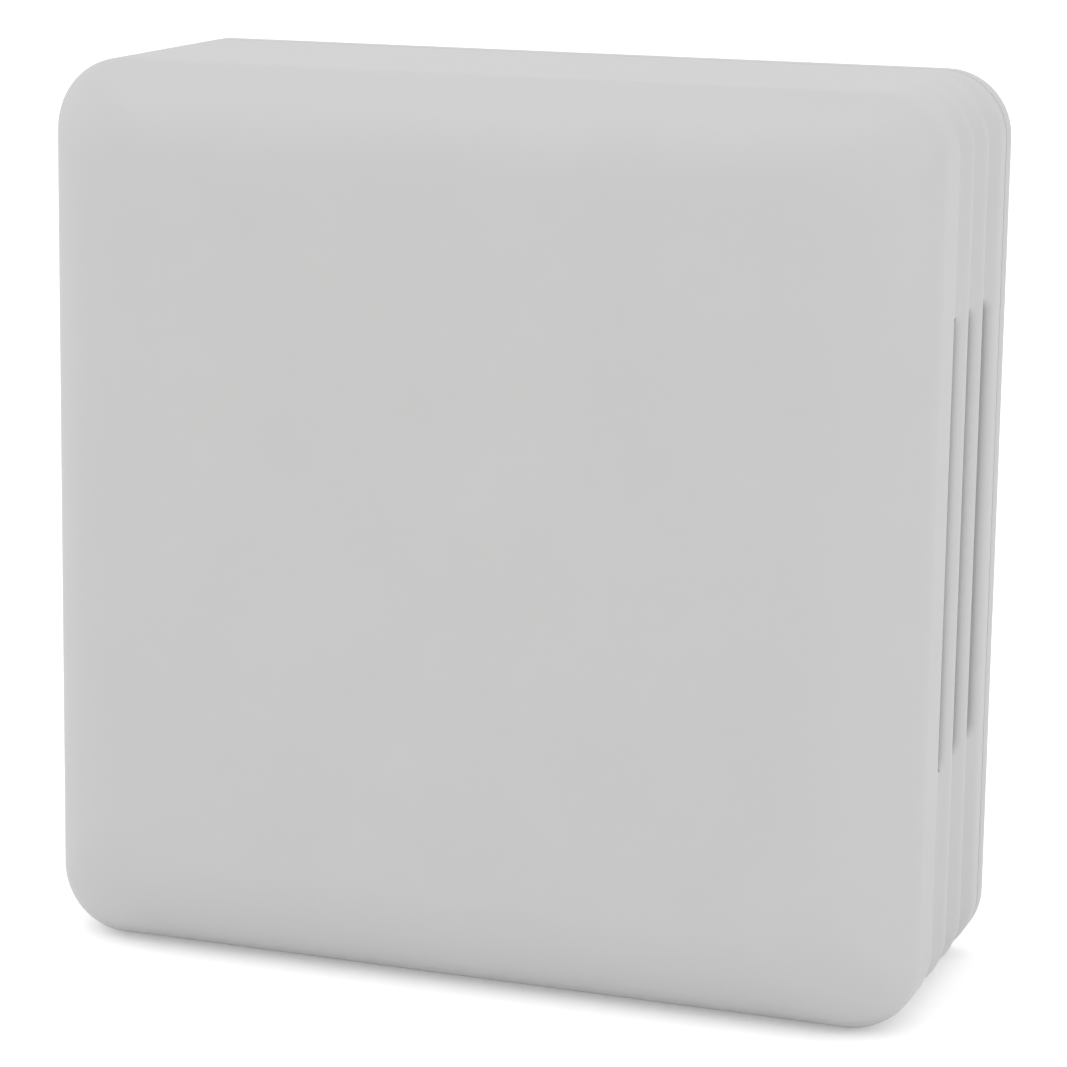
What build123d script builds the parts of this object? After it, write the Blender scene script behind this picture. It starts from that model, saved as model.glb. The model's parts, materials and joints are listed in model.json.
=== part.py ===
from build123d import *

import os
from math import cos, pi, sin

# A wall-mounted room humidity sensor: vented cover, base plate, circuit board, terminals, sensing board.
# X points right as seen from the room, Z points up, the wall is the plane Y = 0, the room is on the -Y side.
# Depth is the distance from the wall. All sizes are in millimetres.

os.makedirs("parts", exist_ok=True)

# Case
case_width = 86.0
case_height = 86.0
case_depth = 33.5
corner_radius = 6.2
front_inset = 10.0
front_rounding = 8.0
front_steps = 10
cover_wall = 2.4
plate_thickness = 2.0
plate_edge_rounding = 0.15
parting_gap = 0.15
body_gap = 0.3

# Grooves and vents on both sides of the cover
groove_count = 3
groove_start = 4.0
groove_pitch = 5.9
groove_depth = 1.0
groove_fading = 0.2
groove_steps = 10
vent_length = 42.5
vent_width = 2.5
vent_narrowing = 0.6
vent_shift = 0.5
vent_rise = 1.0

# Base plate
rim_thickness = 1.2
rim_height = 2.5
rear_border = 3.0
rear_recess = 0.8
rear_rib_width = 1.6
rear_rib_pitch = 19.5
rear_rib_count = 3
rear_pad_radius = 6.0
window_width = 26.0
window_height = 14.0
window_gap = 2.9
window_corner = 2.0
pad_margin = 2.0
wall_screw_spacing = 60.0
wall_slot_length = 8.0
wall_slot_width = 4.4
wall_boss_margin = 2.0
wall_boss_height = 1.2

# Snap hooks
hook_spacing = 44.0
hook_width = 8.0
hook_thickness = 1.4
hook_length = 9.0
hook_barb = 0.9
hook_barb_length = 2.4
hook_clearance = 0.1
catch_depth = 0.8
catch_margin = 0.5

# Lock screw
lock_depth = 8.0
lock_travel = 2.2
lock_head_radius = 2.0
lock_head_height = 1.8
lock_shank_radius = 1.25
lock_slot_width = 0.7
lock_slot_depth = 0.8
lock_nut_side = 5.0
lock_nut_thickness = 1.8
lock_tab_width = 11.0
lock_tab_height = 6.8
lock_tab_end = 12.6
lock_nut_recess = 1.6
thread_clearance = 0.06
nut_clearance = 0.1

# Circuit board, whose pieces are placed by their distance up from its lower edge
board_depth = 8.0
board_thickness = 1.6
board_width = 68.0
board_height = 40.6
board_lock_gap = 0.6
board_corner = 1.5
board_notch_width = 8.6
board_notch_height = 12.0
pin_hole_radius = 0.6
pin_reach = 1.4
pin_width = 0.6

# Board posts and screws
top_post_x = 20.0
top_post_up = 37.0
bottom_post_x = 24.0
bottom_post_up = 5.0
post_radius = 2.6
board_screw_radius = 1.1
board_screw_length = 6.0
board_screw_head_radius = 2.1
board_screw_head_height = 1.4
board_screw_slot = 0.6
post_floor = 0.5
board_hole_clearance = 0.2

# Terminal block
pole_count = 6
pole_pitch = 5.0
terminal_end_wall = 0.4
terminal_length = 9.5
terminal_up = 34.7
terminal_floor = 1.0
terminal_web = 0.6
terminal_well = 2.1
terminal_front_wall = 0.7
cavity_width = 4.3
cavity_length = 5.0
entry_width = 3.4
entry_height = 3.4
entry_corner = 0.6
cage_width = 3.9
cage_length = 4.6
cage_side = 0.55
cage_floor = 0.6
cage_window = 3.2
cage_top = 0.9
cage_travel = 2.0
cage_clearance = 0.1
clamp_head_radius = 1.85
clamp_head_height = 1.5
clamp_shank_radius = 1.2
clamp_slot_width = 0.6
clamp_slot_depth = 0.7
contact_thickness = 0.8
contact_width = 2.3
contact_leg_width = 1.2
contact_clearance = 0.05
contact_end_gap = 0.2

# Range switch
switch_count = 4
switch_pitch = 2.54
switch_x = -24.0
switch_up = 17.0
switch_width = 6.4
switch_end_wall = 0.6
switch_height = 3.0
lever_length = 1.9
lever_width = 1.1
lever_depth = 1.1
lever_nub_length = 0.8
lever_nub_height = 0.5
lever_travel = 1.4
lever_clearance = 0.1
switch_pin_row = 5.0

# Offset trimmer
trimmer_x = -12.5
trimmer_up = 6.5
trimmer_side = 6.6
trimmer_height = 4.6
rotor_radius = 2.3
rotor_height = 1.3
rotor_pivot_radius = 0.6
rotor_pivot_length = 1.2
rotor_slot_width = 0.6
rotor_slot_depth = 0.6
rotor_clearance = 0.06
trimmer_pin_spacing = 2.5

# Service button
button_x = 8.0
button_up = 5.5
button_side = 6.0
button_height = 3.2
button_plate = 0.3
button_well_radius = 2.5
button_well_depth = 1.3
plunger_radius = 1.7
plunger_flange_radius = 2.2
plunger_flange_height = 0.7
plunger_reach = 1.6
button_gap = 0.02
button_pin_x = 6.5
button_pin_z = 4.5

# Flat packages
stand_off = 0.15
lead_thickness = 0.18
controller_x = -5.0
controller_up = 17.5
controller_side = 7.0
controller_height = 1.2
controller_leads = 8
controller_lead_pitch = 0.8
controller_lead_width = 0.35
controller_lead_reach = 1.0
lead_foot = 0.6
amplifier_x = 7.0
amplifier_ups = (20.0, 12.8)
amplifier_width = 3.9
amplifier_length = 4.9
amplifier_height = 1.5
amplifier_leads_per_side = 4
amplifier_lead_pitch = 1.27
amplifier_lead_width = 0.42
amplifier_lead_reach = 1.05
regulator_x = 19.0
regulator_up = 27.0
regulator_width = 6.5
regulator_length = 3.5
regulator_height = 1.6
regulator_lead_pitch = 2.3
regulator_lead_width = 0.7
regulator_tab_width = 3.0
regulator_lead_reach = 1.75

# Capacitors, diodes, inductor and LED
can_radius = 3.15
can_height = 7.0
can_rounding = 0.5
can_groove_height = 1.4
can_groove_depth = 0.25
can_groove_width = 0.6
can_base_side = 6.8
can_base_height = 0.8
can_base_chamfer = 1.3
can_x = 17.0
can_ups = (18.5, 10.5)
diode_x_pitch = 6.2
diode_count = 3
diode_up = 25.6
diode_length = 4.3
diode_width = 2.6
diode_height = 2.1
diode_taper = 5.0
diode_tab_reach = 0.5
diode_tab_width = 1.5
diode_tab_height = 1.0
inductor_x = -19.5
inductor_up = 27.4
inductor_side = 6.0
inductor_height = 2.8
inductor_corner = 1.0
inductor_well_radius = 2.3
inductor_well_depth = 0.4
led_x = 0.0
led_up = 3.5
led_length = 3.2
led_width = 2.7
led_height = 1.8
lens_radius = 1.15
lens_depth = 1.0

# Chip resistors and capacitors
chip_body = 1.3
chip_end = 0.35
chip_width = 1.25
resistor_height = 0.5
chip_capacitor_height = 0.9
chip_pitch = 2.2
resistor_columns = [(-17.0, 20.5, 5), (-12.6, 20.5, 4), (25.5, 21.0, 2), (2.2, 9.4, 1), (-2.2, 9.4, 1)]
chip_capacitor_columns = [(1.6, 21.4, 2), (1.6, 14.8, 1), (12.0, 24.4, 1), (25.5, 16.6, 2)]

# Sensing board
sensor_x = 31.0
sensor_up = 17.0
sensor_board_thickness = 1.0
sensor_board_height = 12.0
sensor_board_reach = 15.0
sensor_pin_count = 4
sensor_pin_pitch = 2.54
sensor_pin_rise = 2.8
header_width = 2.5
header_height = 2.2
header_gap = 0.2
element_rise = 9.2
element_side = 5.0
element_height = 1.4
element_port_radius = 1.2
element_port_depth = 0.5
element_pad_length = 0.5
element_pad_width = 0.6
element_pad_pitch = 1.4
cap_side = 8.0
cap_height = 3.4
cap_wall = 0.8
cap_hole_radius = 2.2
membrane_radius = 2.8
membrane_thickness = 0.2
thermistor_up = 7.2
thermistor_rise = 9.0
thermistor_radius = 1.2
thermistor_rounding = 0.84
thermistor_length = 3.0
thermistor_lead_radius = 0.25
thermistor_lead_spacing = 1.4

# Worked out from the sizes above
half_width = case_width / 2
half_height = case_height / 2
cover_start = plate_thickness + parting_gap
inner_half_width = half_width - cover_wall
inner_half_height = half_height - cover_wall
inner_corner = corner_radius - cover_wall
tab_face = -(inner_half_height - body_gap)
lock_seat_z = tab_face + lock_head_height + body_gap
lock_nut_z = lock_seat_z + lock_nut_recess
lock_tip_z = lock_nut_z + lock_nut_thickness + lock_travel
board_front = board_depth + board_thickness
board_bottom = lock_tip_z + board_lock_gap
board_centre_z = board_bottom + board_height / 2
window_centre_z = board_bottom + board_height + window_gap + window_height / 2
pin_tip = board_depth - pin_reach
standing = (Align.CENTER, Align.CENTER, Align.MIN)
hanging = (Align.CENTER, Align.CENTER, Align.MAX)
sides = (-1, 1)
post_places = [(side * top_post_x, board_bottom + top_post_up) for side in sides]
post_places += [(side * bottom_post_x, board_bottom + bottom_post_up) for side in sides]
terminal_centre_z = board_bottom + terminal_up
switch_z = board_bottom + switch_up
trimmer_z = board_bottom + trimmer_up
button_z = board_bottom + button_up
controller_z = board_bottom + controller_up
amplifier_zs = [board_bottom + up for up in amplifier_ups]
regulator_z = board_bottom + regulator_up
can_places = [(can_x, board_bottom + up) for up in can_ups]
diode_z = board_bottom + diode_up
inductor_z = board_bottom + inductor_up
led_z = board_bottom + led_up
sensor_z = board_bottom + sensor_up
thermistor_z = board_bottom + thermistor_up


def side_dip(depth):
    """How far the grooves draw each side in at that depth: waves from crest to crest, deepest by the wall."""
    grooves = (depth - groove_start) / groove_pitch
    if not 0 < grooves < groove_count:
        return 0.0
    wave = (1 - cos(2 * pi * grooves)) / 2
    return wave * (groove_depth - groove_fading * int(grooves))


def cover_outlines(inset, grooved):
    """Depth, width and height of each outline of the cover, drawn in by a wall and grooved on the sides."""
    outlines = [(cover_start, case_width - 2 * inset, case_height - 2 * inset)]
    side_end = case_depth - front_rounding
    if grooved:
        for step in range(groove_count * groove_steps + 1):
            depth = groove_start + groove_pitch * step / groove_steps
            if depth < side_end:
                outlines.append((depth, case_width - 2 * side_dip(depth), case_height))
    for step in range(front_steps + 1):
        angle = pi / 2 * step / front_steps
        depth = side_end + (front_rounding - inset) * sin(angle)
        drawn = front_inset - (front_inset - inset) * cos(angle)
        dip = side_dip(depth) if grooved else 0.0
        outlines.append((depth, case_width - 2 * (drawn + dip), case_height - 2 * drawn))
    return outlines


# Cover: a moulded cap with a soft front, grooved and vented sides, catches and a hole for the lock screw
hook_tip = plate_thickness + hook_length
with BuildPart() as cover:
    for depth, width, height in cover_outlines(0.0, True):
        with BuildSketch(Plane.XZ.offset(depth)):
            RectangleRounded(width, height, corner_radius)
    loft(ruled=True)
    for depth, width, height in cover_outlines(cover_wall, False):
        with BuildSketch(Plane.XZ.offset(depth)):
            RectangleRounded(width, height, inner_corner)
    loft(ruled=True, mode=Mode.SUBTRACT)
    with BuildSketch(Plane.YZ):
        for number in range(groove_count):
            with Locations((vent_shift - groove_start - groove_pitch * (number + 0.5), vent_rise)):
                SlotOverall(vent_length, vent_width - vent_narrowing * number, rotation=90)
    extrude(amount=half_width, both=True, mode=Mode.SUBTRACT)
    with BuildSketch(Plane.XZ.offset(hook_tip + catch_margin)):
        with GridLocations(hook_spacing, 2 * inner_half_height, 2, 2):
            Rectangle(hook_width + 2 * catch_margin, 2 * catch_depth)
    extrude(amount=-(hook_barb_length + 2 * catch_margin), mode=Mode.SUBTRACT)
    with BuildSketch(Plane.XY.offset(-half_height)):
        with Locations((0, -lock_depth)):
            Circle(lock_head_radius + body_gap)
    extrude(amount=cover_wall, mode=Mode.SUBTRACT)
cover.part.label = "cover"
export_step(cover.part, "parts/cover.step")

# Base plate: flush rim, locating rim, snap hooks, cable window, wall screw slots, board posts and lock tab
rim_half_width = inner_half_width - body_gap
rim_half_height = inner_half_height - body_gap
rim_corner = inner_corner - body_gap
hook_face = inner_half_height - hook_clearance - hook_barb
tab_centre_z = tab_face + lock_tab_height / 2
wall_slots = [(side * wall_screw_spacing / 2, 0) for side in sides]
with BuildPart() as base_plate:
    with BuildSketch(Plane.XZ):
        RectangleRounded(case_width, case_height, corner_radius)
    extrude(amount=plate_thickness)
    fillet(base_plate.edges().group_by(Axis.Y)[-1], plate_edge_rounding)
    with BuildSketch(Plane.XZ):
        RectangleRounded(case_width - 2 * rear_border, case_height - 2 * rear_border, inner_corner)
        with GridLocations(rear_rib_pitch, 0, rear_rib_count, 1):
            Rectangle(rear_rib_width, case_height, mode=Mode.SUBTRACT)
        with GridLocations(0, rear_rib_pitch, 1, rear_rib_count):
            Rectangle(case_width, rear_rib_width, mode=Mode.SUBTRACT)
        with Locations((0, window_centre_z)):
            Rectangle(window_width + 2 * pad_margin, window_height + 2 * pad_margin, mode=Mode.SUBTRACT)
        with Locations(*wall_slots):
            SlotOverall(
                wall_slot_length + 2 * pad_margin,
                wall_slot_width + 2 * pad_margin,
                mode=Mode.SUBTRACT,
            )
        Circle(rear_pad_radius, mode=Mode.SUBTRACT)
    extrude(amount=rear_recess, mode=Mode.SUBTRACT)
    with BuildSketch(Plane.XZ.offset(plate_thickness)):
        RectangleRounded(2 * rim_half_width, 2 * rim_half_height, rim_corner)
        RectangleRounded(
            2 * (rim_half_width - rim_thickness),
            2 * (rim_half_height - rim_thickness),
            rim_corner - rim_thickness,
            mode=Mode.SUBTRACT,
        )
    extrude(amount=rim_height)
    with BuildSketch(Plane.XZ.offset(plate_thickness)):
        with Locations(*wall_slots):
            SlotOverall(wall_slot_length + 2 * wall_boss_margin, wall_slot_width + 2 * wall_boss_margin)
    extrude(amount=wall_boss_height)
    for side in sides:
        hook_profile = Plane.YZ.offset(-hook_spacing / 2 - hook_width / 2)
        for place in range(2):
            with BuildSketch(hook_profile.offset(place * hook_spacing)):
                with BuildLine():
                    Polyline(
                        (-plate_thickness / 2, side * (hook_face - hook_thickness)),
                        (-hook_tip, side * (hook_face - hook_thickness)),
                        (-hook_tip, side * hook_face),
                        (-(hook_tip - hook_barb_length / 2), side * (hook_face + hook_barb)),
                        (-(hook_tip - hook_barb_length), side * (hook_face + hook_barb)),
                        (-(hook_tip - hook_barb_length), side * hook_face),
                        (-plate_thickness / 2, side * hook_face),
                        close=True,
                    )
                make_face()
            extrude(amount=hook_width)
    with BuildSketch(Plane.XZ.offset(plate_thickness / 2)):
        with Locations(*post_places):
            Circle(post_radius)
    extrude(amount=board_depth - plate_thickness / 2)
    with BuildSketch(Plane.XZ.offset(plate_thickness / 2)):
        with Locations((0, tab_centre_z)):
            Rectangle(lock_tab_width, lock_tab_height)
    extrude(amount=lock_tab_end - plate_thickness / 2)
    with BuildSketch(Plane.XZ):
        with Locations((0, window_centre_z)):
            RectangleRounded(window_width, window_height, window_corner)
        with Locations(*wall_slots):
            SlotOverall(wall_slot_length, wall_slot_width)
    extrude(amount=plate_thickness + wall_boss_height, mode=Mode.SUBTRACT)
    with BuildSketch(Plane.XZ.offset(board_depth)):
        with Locations(*post_places):
            Circle(board_screw_radius)
    extrude(amount=-(board_depth - plate_thickness + post_floor), mode=Mode.SUBTRACT)
    with BuildSketch(Plane.XY.offset(tab_face)):
        with Locations((0, -lock_depth)):
            Circle(lock_head_radius + body_gap)
    extrude(amount=lock_seat_z - tab_face, mode=Mode.SUBTRACT)
    with BuildSketch(Plane.XY.offset(tab_face)):
        with Locations((0, -lock_depth)):
            Circle(lock_shank_radius + thread_clearance)
    extrude(amount=lock_tab_height, mode=Mode.SUBTRACT)
    with BuildSketch(Plane.XY.offset(lock_nut_z)):
        with Locations((0, -(lock_depth - lock_nut_side / 2 - nut_clearance))):
            Rectangle(
                lock_nut_side + 2 * nut_clearance,
                lock_tab_end - lock_depth + lock_nut_side / 2 + nut_clearance,
                align=(Align.CENTER, Align.MAX),
            )
    extrude(amount=lock_nut_thickness + nut_clearance, mode=Mode.SUBTRACT)
base_plate.part.label = "base_plate"
export_step(base_plate.part, "parts/base_plate.step")

# Lock screw: slotted cheese-head screw, screwed out of the tab into the cover's bottom hole
lock_shank_length = lock_tip_z - tab_face - lock_head_height
with BuildPart(Plane.XY.offset(tab_face + lock_head_height)) as lock_screw:
    with Locations((0, -lock_depth, 0)):
        Cylinder(lock_head_radius, lock_head_height, align=hanging)
        Cylinder(lock_shank_radius, lock_shank_length, align=standing)
    with Locations((0, -lock_depth, -lock_head_height)):
        Box(2 * lock_head_radius, lock_slot_width, lock_slot_depth, align=standing, mode=Mode.SUBTRACT)
lock_screw.part.label = "lock_screw"
export_step(lock_screw.part, "parts/lock_screw.step")

# Lock nut: square nut slid into the tab from the front
with BuildPart(Plane.XY.offset(lock_nut_z)) as lock_nut:
    with Locations((0, -lock_depth, 0)):
        Box(lock_nut_side, lock_nut_side, lock_nut_thickness, align=standing)
        Hole(lock_shank_radius + thread_clearance)
lock_nut.part.label = "lock_nut"
export_step(lock_nut.part, "parts/lock_nut.step")

# Circuit board: notched round the wall screws, drilled for its screws and for every pin
pole_xs = [(pole - (pole_count - 1) / 2) * pole_pitch for pole in range(pole_count)]
terminal_back_z = terminal_centre_z - terminal_length / 2
terminal_front_z = terminal_centre_z + terminal_length / 2
cavity_back_z = terminal_front_z - terminal_front_wall - cavity_length
contact_leg_z = (terminal_back_z + cavity_back_z) / 2
contact_pins = [(x, contact_leg_z) for x in pole_xs]
switch_zs = [switch_z + (place - (switch_count - 1) / 2) * switch_pitch for place in range(switch_count)]
switch_pins = [(switch_x + side * switch_pin_row / 2, z) for side in sides for z in switch_zs]
trimmer_pins_at = [(trimmer_x + side * trimmer_pin_spacing, trimmer_z) for side in (-1, 0, 1)]
button_pins_at = [
    (button_x + x_side * button_pin_x / 2, button_z + z_side * button_pin_z / 2)
    for x_side in sides
    for z_side in sides
]
header_x = sensor_x - sensor_board_thickness / 2 - header_gap - header_width / 2
sensor_zs = [
    sensor_z + (place - (sensor_pin_count - 1) / 2) * sensor_pin_pitch for place in range(sensor_pin_count)
]
header_pins_at = [(header_x, z) for z in sensor_zs]
thermistor_pins_at = [(sensor_x, thermistor_z + side * thermistor_lead_spacing / 2) for side in sides]
small_pins = switch_pins + trimmer_pins_at + button_pins_at + header_pins_at
with BuildPart() as circuit_board:
    with BuildSketch(Plane.XZ.offset(board_depth)):
        with Locations((0, board_centre_z)):
            RectangleRounded(board_width, board_height, board_corner)
        with Locations((-board_width / 2, 0), (board_width / 2, 0)):
            Rectangle(2 * board_notch_width, board_notch_height, mode=Mode.SUBTRACT)
        with Locations(*post_places):
            Circle(board_screw_radius + board_hole_clearance, mode=Mode.SUBTRACT)
        with Locations(*contact_pins):
            Circle(contact_leg_width / 2 + board_hole_clearance, mode=Mode.SUBTRACT)
        with Locations(*small_pins):
            Circle(pin_hole_radius, mode=Mode.SUBTRACT)
        with Locations(*thermistor_pins_at):
            Circle(thermistor_lead_radius + contact_clearance, mode=Mode.SUBTRACT)
    extrude(amount=board_thickness)
circuit_board.part.label = "circuit_board"
export_step(circuit_board.part, "parts/circuit_board.step")

# Board screws: four slotted pan-head screws into the posts
with BuildPart(Plane.XZ.offset(board_front)) as board_screws:
    with Locations(*[(x, z, 0) for x, z in post_places]):
        Cylinder(board_screw_head_radius, board_screw_head_height, align=standing)
        Cylinder(board_screw_radius, board_screw_length, align=hanging)
    with Locations(*[(x, z, board_screw_head_height) for x, z in post_places]):
        Box(
            2 * board_screw_head_radius,
            board_screw_slot,
            board_screw_slot,
            align=hanging,
            mode=Mode.SUBTRACT,
        )
board_screws.part.label = "board_screws"
export_step(board_screws.part, "parts/board_screws.step")

# Terminal housing: one cavity, one wire entry from above and one screw well for each pole
cage_height = cage_floor + cage_window + cage_top
cavity_start = board_front + terminal_floor
cavity_height = cage_height + cage_travel + 2 * cage_clearance
cavity_end = cavity_start + cavity_height
web_end = cavity_end + terminal_web
housing_end = web_end + terminal_well
housing_width = pole_count * pole_pitch + 2 * terminal_end_wall
cavity_centre_z = cavity_back_z + cavity_length / 2
contact_rise = cavity_start + cage_clearance + cage_floor + cage_travel + contact_end_gap
tongue_end_z = cavity_centre_z + cage_length / 2 - contact_end_gap
tongue_length = tongue_end_z - contact_leg_z + contact_thickness / 2
tongue_slot_length = cavity_back_z - contact_leg_z + contact_thickness / 2 + contact_clearance
with BuildPart(Plane.XZ) as terminal_housing:
    with Locations((0, terminal_centre_z, board_front)):
        Box(housing_width, terminal_length, housing_end - board_front, align=standing)
    for x in pole_xs:
        with Locations((x, cavity_centre_z, cavity_start)):
            Box(cavity_width, cavity_length, cavity_height, align=standing, mode=Mode.SUBTRACT)
        with Locations((x, cavity_centre_z, cavity_end)):
            Cylinder(
                clamp_shank_radius + thread_clearance, terminal_web, align=standing, mode=Mode.SUBTRACT
            )
        with Locations((x, cavity_centre_z, web_end)):
            Cylinder(clamp_head_radius + body_gap, terminal_well, align=standing, mode=Mode.SUBTRACT)
        with Locations((x, cavity_back_z, contact_rise - contact_clearance)):
            Box(
                contact_width + 2 * contact_clearance,
                tongue_slot_length,
                contact_thickness + 2 * contact_clearance,
                align=(Align.CENTER, Align.MAX, Align.MIN),
                mode=Mode.SUBTRACT,
            )
        with Locations((x, contact_leg_z, board_front)):
            Box(
                contact_leg_width + 2 * contact_clearance,
                contact_thickness + 2 * contact_clearance,
                contact_rise - board_front,
                align=standing,
                mode=Mode.SUBTRACT,
            )
    with BuildSketch(Plane.XY.offset(terminal_front_z)):
        with Locations(*[(x, -(cavity_start + entry_height / 2)) for x in pole_xs]):
            RectangleRounded(entry_width, entry_height, entry_corner)
    extrude(amount=-terminal_front_wall, mode=Mode.SUBTRACT)
terminal_housing.part.label = "terminal_housing"
export_step(terminal_housing.part, "parts/terminal_housing.step")

# Terminal contacts: a tongue through each cage and a leg down through the board
with BuildPart(Plane.XZ) as terminal_contacts:
    with Locations(*[(x, tongue_end_z, contact_rise) for x in pole_xs]):
        Box(contact_width, tongue_length, contact_thickness, align=(Align.CENTER, Align.MAX, Align.MIN))
    with Locations(*[(x, contact_leg_z, contact_rise) for x in pole_xs]):
        Box(contact_leg_width, contact_thickness, contact_rise - pin_tip, align=hanging)
terminal_contacts.part.label = "terminal_contacts"
export_step(terminal_contacts.part, "parts/terminal_contacts.step")

# Rising cages and clamp screws, one of each for every pole
cage_start = cavity_start + cage_clearance
clamp_seat = web_end + cage_clearance
clamp_tip = contact_rise + contact_thickness + contact_end_gap
for pole, x in enumerate(pole_xs, start=1):
    with BuildPart(Plane.XZ) as cage:
        with Locations((x, cavity_centre_z, cage_start)):
            Box(cage_width, cage_length, cage_height, align=standing)
        with Locations((x, cavity_centre_z, cage_start + cage_floor)):
            Box(cage_width - 2 * cage_side, cage_length, cage_window, align=standing, mode=Mode.SUBTRACT)
        with Locations((x, cavity_centre_z, cage_start + cage_height)):
            Hole(clamp_shank_radius + thread_clearance, depth=cage_top)
    cage.part.label = f"terminal_cage_{pole}"
    export_step(cage.part, f"parts/terminal_cage_{pole}.step")

    with BuildPart(Plane.XZ) as clamp_screw:
        with Locations((x, cavity_centre_z, clamp_seat)):
            Cylinder(clamp_head_radius, clamp_head_height, align=standing)
            Cylinder(clamp_shank_radius, clamp_seat - clamp_tip, align=hanging)
        with Locations((x, cavity_centre_z, clamp_seat + clamp_head_height)):
            Box(
                2 * clamp_head_radius,
                clamp_slot_width,
                clamp_slot_depth,
                align=hanging,
                mode=Mode.SUBTRACT,
            )
    clamp_screw.part.label = f"terminal_screw_{pole}"
    export_step(clamp_screw.part, f"parts/terminal_screw_{pole}.step")

# Range switch: body with one window for each lever
switch_top = board_front + switch_height
switch_window = lever_length + lever_travel + 2 * lever_clearance
switch_length = switch_count * switch_pitch + 2 * switch_end_wall
lever_rest_x = switch_x - lever_travel / 2
with BuildPart(Plane.XZ) as switch_body:
    with Locations((switch_x, switch_z, board_front)):
        Box(switch_width, switch_length, switch_height, align=standing)
    with Locations(*[(switch_x, z, switch_top) for z in switch_zs]):
        Box(
            switch_window,
            lever_width + 2 * lever_clearance,
            lever_depth + lever_clearance,
            align=hanging,
            mode=Mode.SUBTRACT,
        )
switch_body.part.label = "switch_body"
export_step(switch_body.part, "parts/switch_body.step")

for place, z in enumerate(switch_zs, start=1):
    with BuildPart(Plane.XZ) as lever:
        with Locations((lever_rest_x, z, switch_top)):
            Box(lever_length, lever_width, lever_depth, align=hanging)
            Box(lever_nub_length, lever_width, lever_nub_height, align=standing)
    lever.part.label = f"switch_lever_{place}"
    export_step(lever.part, f"parts/switch_lever_{place}.step")

with BuildPart(Plane.XZ.offset(board_front)) as switch_contacts:
    with Locations(*[(x, z, 0) for x, z in switch_pins]):
        Box(pin_width, pin_width, board_front - pin_tip, align=hanging)
switch_contacts.part.label = "switch_contacts"
export_step(switch_contacts.part, "parts/switch_contacts.step")

# Offset trimmer: body with a round well, a slotted rotor on a pivot, three pins
trimmer_top = board_front + trimmer_height
rotor_seat = trimmer_top - rotor_height
with BuildPart(Plane.XZ) as trimmer_body:
    with Locations((trimmer_x, trimmer_z, board_front)):
        Box(trimmer_side, trimmer_side, trimmer_height, align=standing)
    with Locations((trimmer_x, trimmer_z, trimmer_top)):
        Hole(rotor_radius + rotor_clearance, depth=rotor_height + rotor_clearance)
        Hole(
            rotor_pivot_radius + rotor_clearance,
            depth=rotor_height + rotor_pivot_length + 2 * rotor_clearance,
        )
trimmer_body.part.label = "trimmer_body"
export_step(trimmer_body.part, "parts/trimmer_body.step")

with BuildPart(Plane.XZ) as trimmer_rotor:
    with Locations((trimmer_x, trimmer_z, rotor_seat)):
        Cylinder(rotor_radius, rotor_height, align=standing)
        Cylinder(rotor_pivot_radius, rotor_pivot_length, align=hanging)
    with Locations((trimmer_x, trimmer_z, trimmer_top)):
        Box(2 * rotor_radius, rotor_slot_width, rotor_slot_depth, align=hanging, mode=Mode.SUBTRACT)
        Box(rotor_slot_width, rotor_radius, rotor_slot_depth, align=hanging, mode=Mode.SUBTRACT)
trimmer_rotor.part.label = "trimmer_rotor"
export_step(trimmer_rotor.part, "parts/trimmer_rotor.step")

with BuildPart(Plane.XZ.offset(board_front)) as trimmer_pins:
    with Locations(*[(x, z, 0) for x, z in trimmer_pins_at]):
        Box(pin_width, pin_width, board_front - pin_tip, align=hanging)
trimmer_pins.part.label = "trimmer_pins"
export_step(trimmer_pins.part, "parts/trimmer_pins.step")

# Service button: body with a well, plunger held in by a sheet metal plate, four pins
button_top = board_front + button_height
flange_end = button_top - button_gap
with BuildPart(Plane.XZ) as button_body:
    with Locations((button_x, button_z, board_front)):
        Box(button_side, button_side, button_height, align=standing)
    with Locations((button_x, button_z, button_top)):
        Hole(button_well_radius, depth=button_well_depth)
button_body.part.label = "button_body"
export_step(button_body.part, "parts/button_body.step")

with BuildPart(Plane.XZ) as button_cover:
    with Locations((button_x, button_z, button_top)):
        Box(button_side, button_side, button_plate, align=standing)
        Hole(plunger_radius + thread_clearance)
button_cover.part.label = "button_cover"
export_step(button_cover.part, "parts/button_cover.step")

with BuildPart(Plane.XZ) as button_plunger:
    with Locations((button_x, button_z, flange_end)):
        Cylinder(plunger_flange_radius, plunger_flange_height, align=hanging)
        Cylinder(plunger_radius, plunger_reach, align=standing)
button_plunger.part.label = "button_plunger"
export_step(button_plunger.part, "parts/button_plunger.step")

with BuildPart(Plane.XZ.offset(board_front)) as button_pins:
    with Locations(*[(x, z, 0) for x, z in button_pins_at]):
        Box(pin_width, pin_width, board_front - pin_tip, align=hanging)
    for side in sides:
        with Locations((button_x + side * button_side / 2, button_z, 0)):
            Box(
                button_pin_x - button_side + pin_width,
                button_pin_z + pin_width,
                pin_width,
                align=(Align.MIN if side > 0 else Align.MAX, Align.CENTER, Align.MIN),
            )
button_pins.part.label = "button_pins"
export_step(button_pins.part, "parts/button_pins.step")


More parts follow.
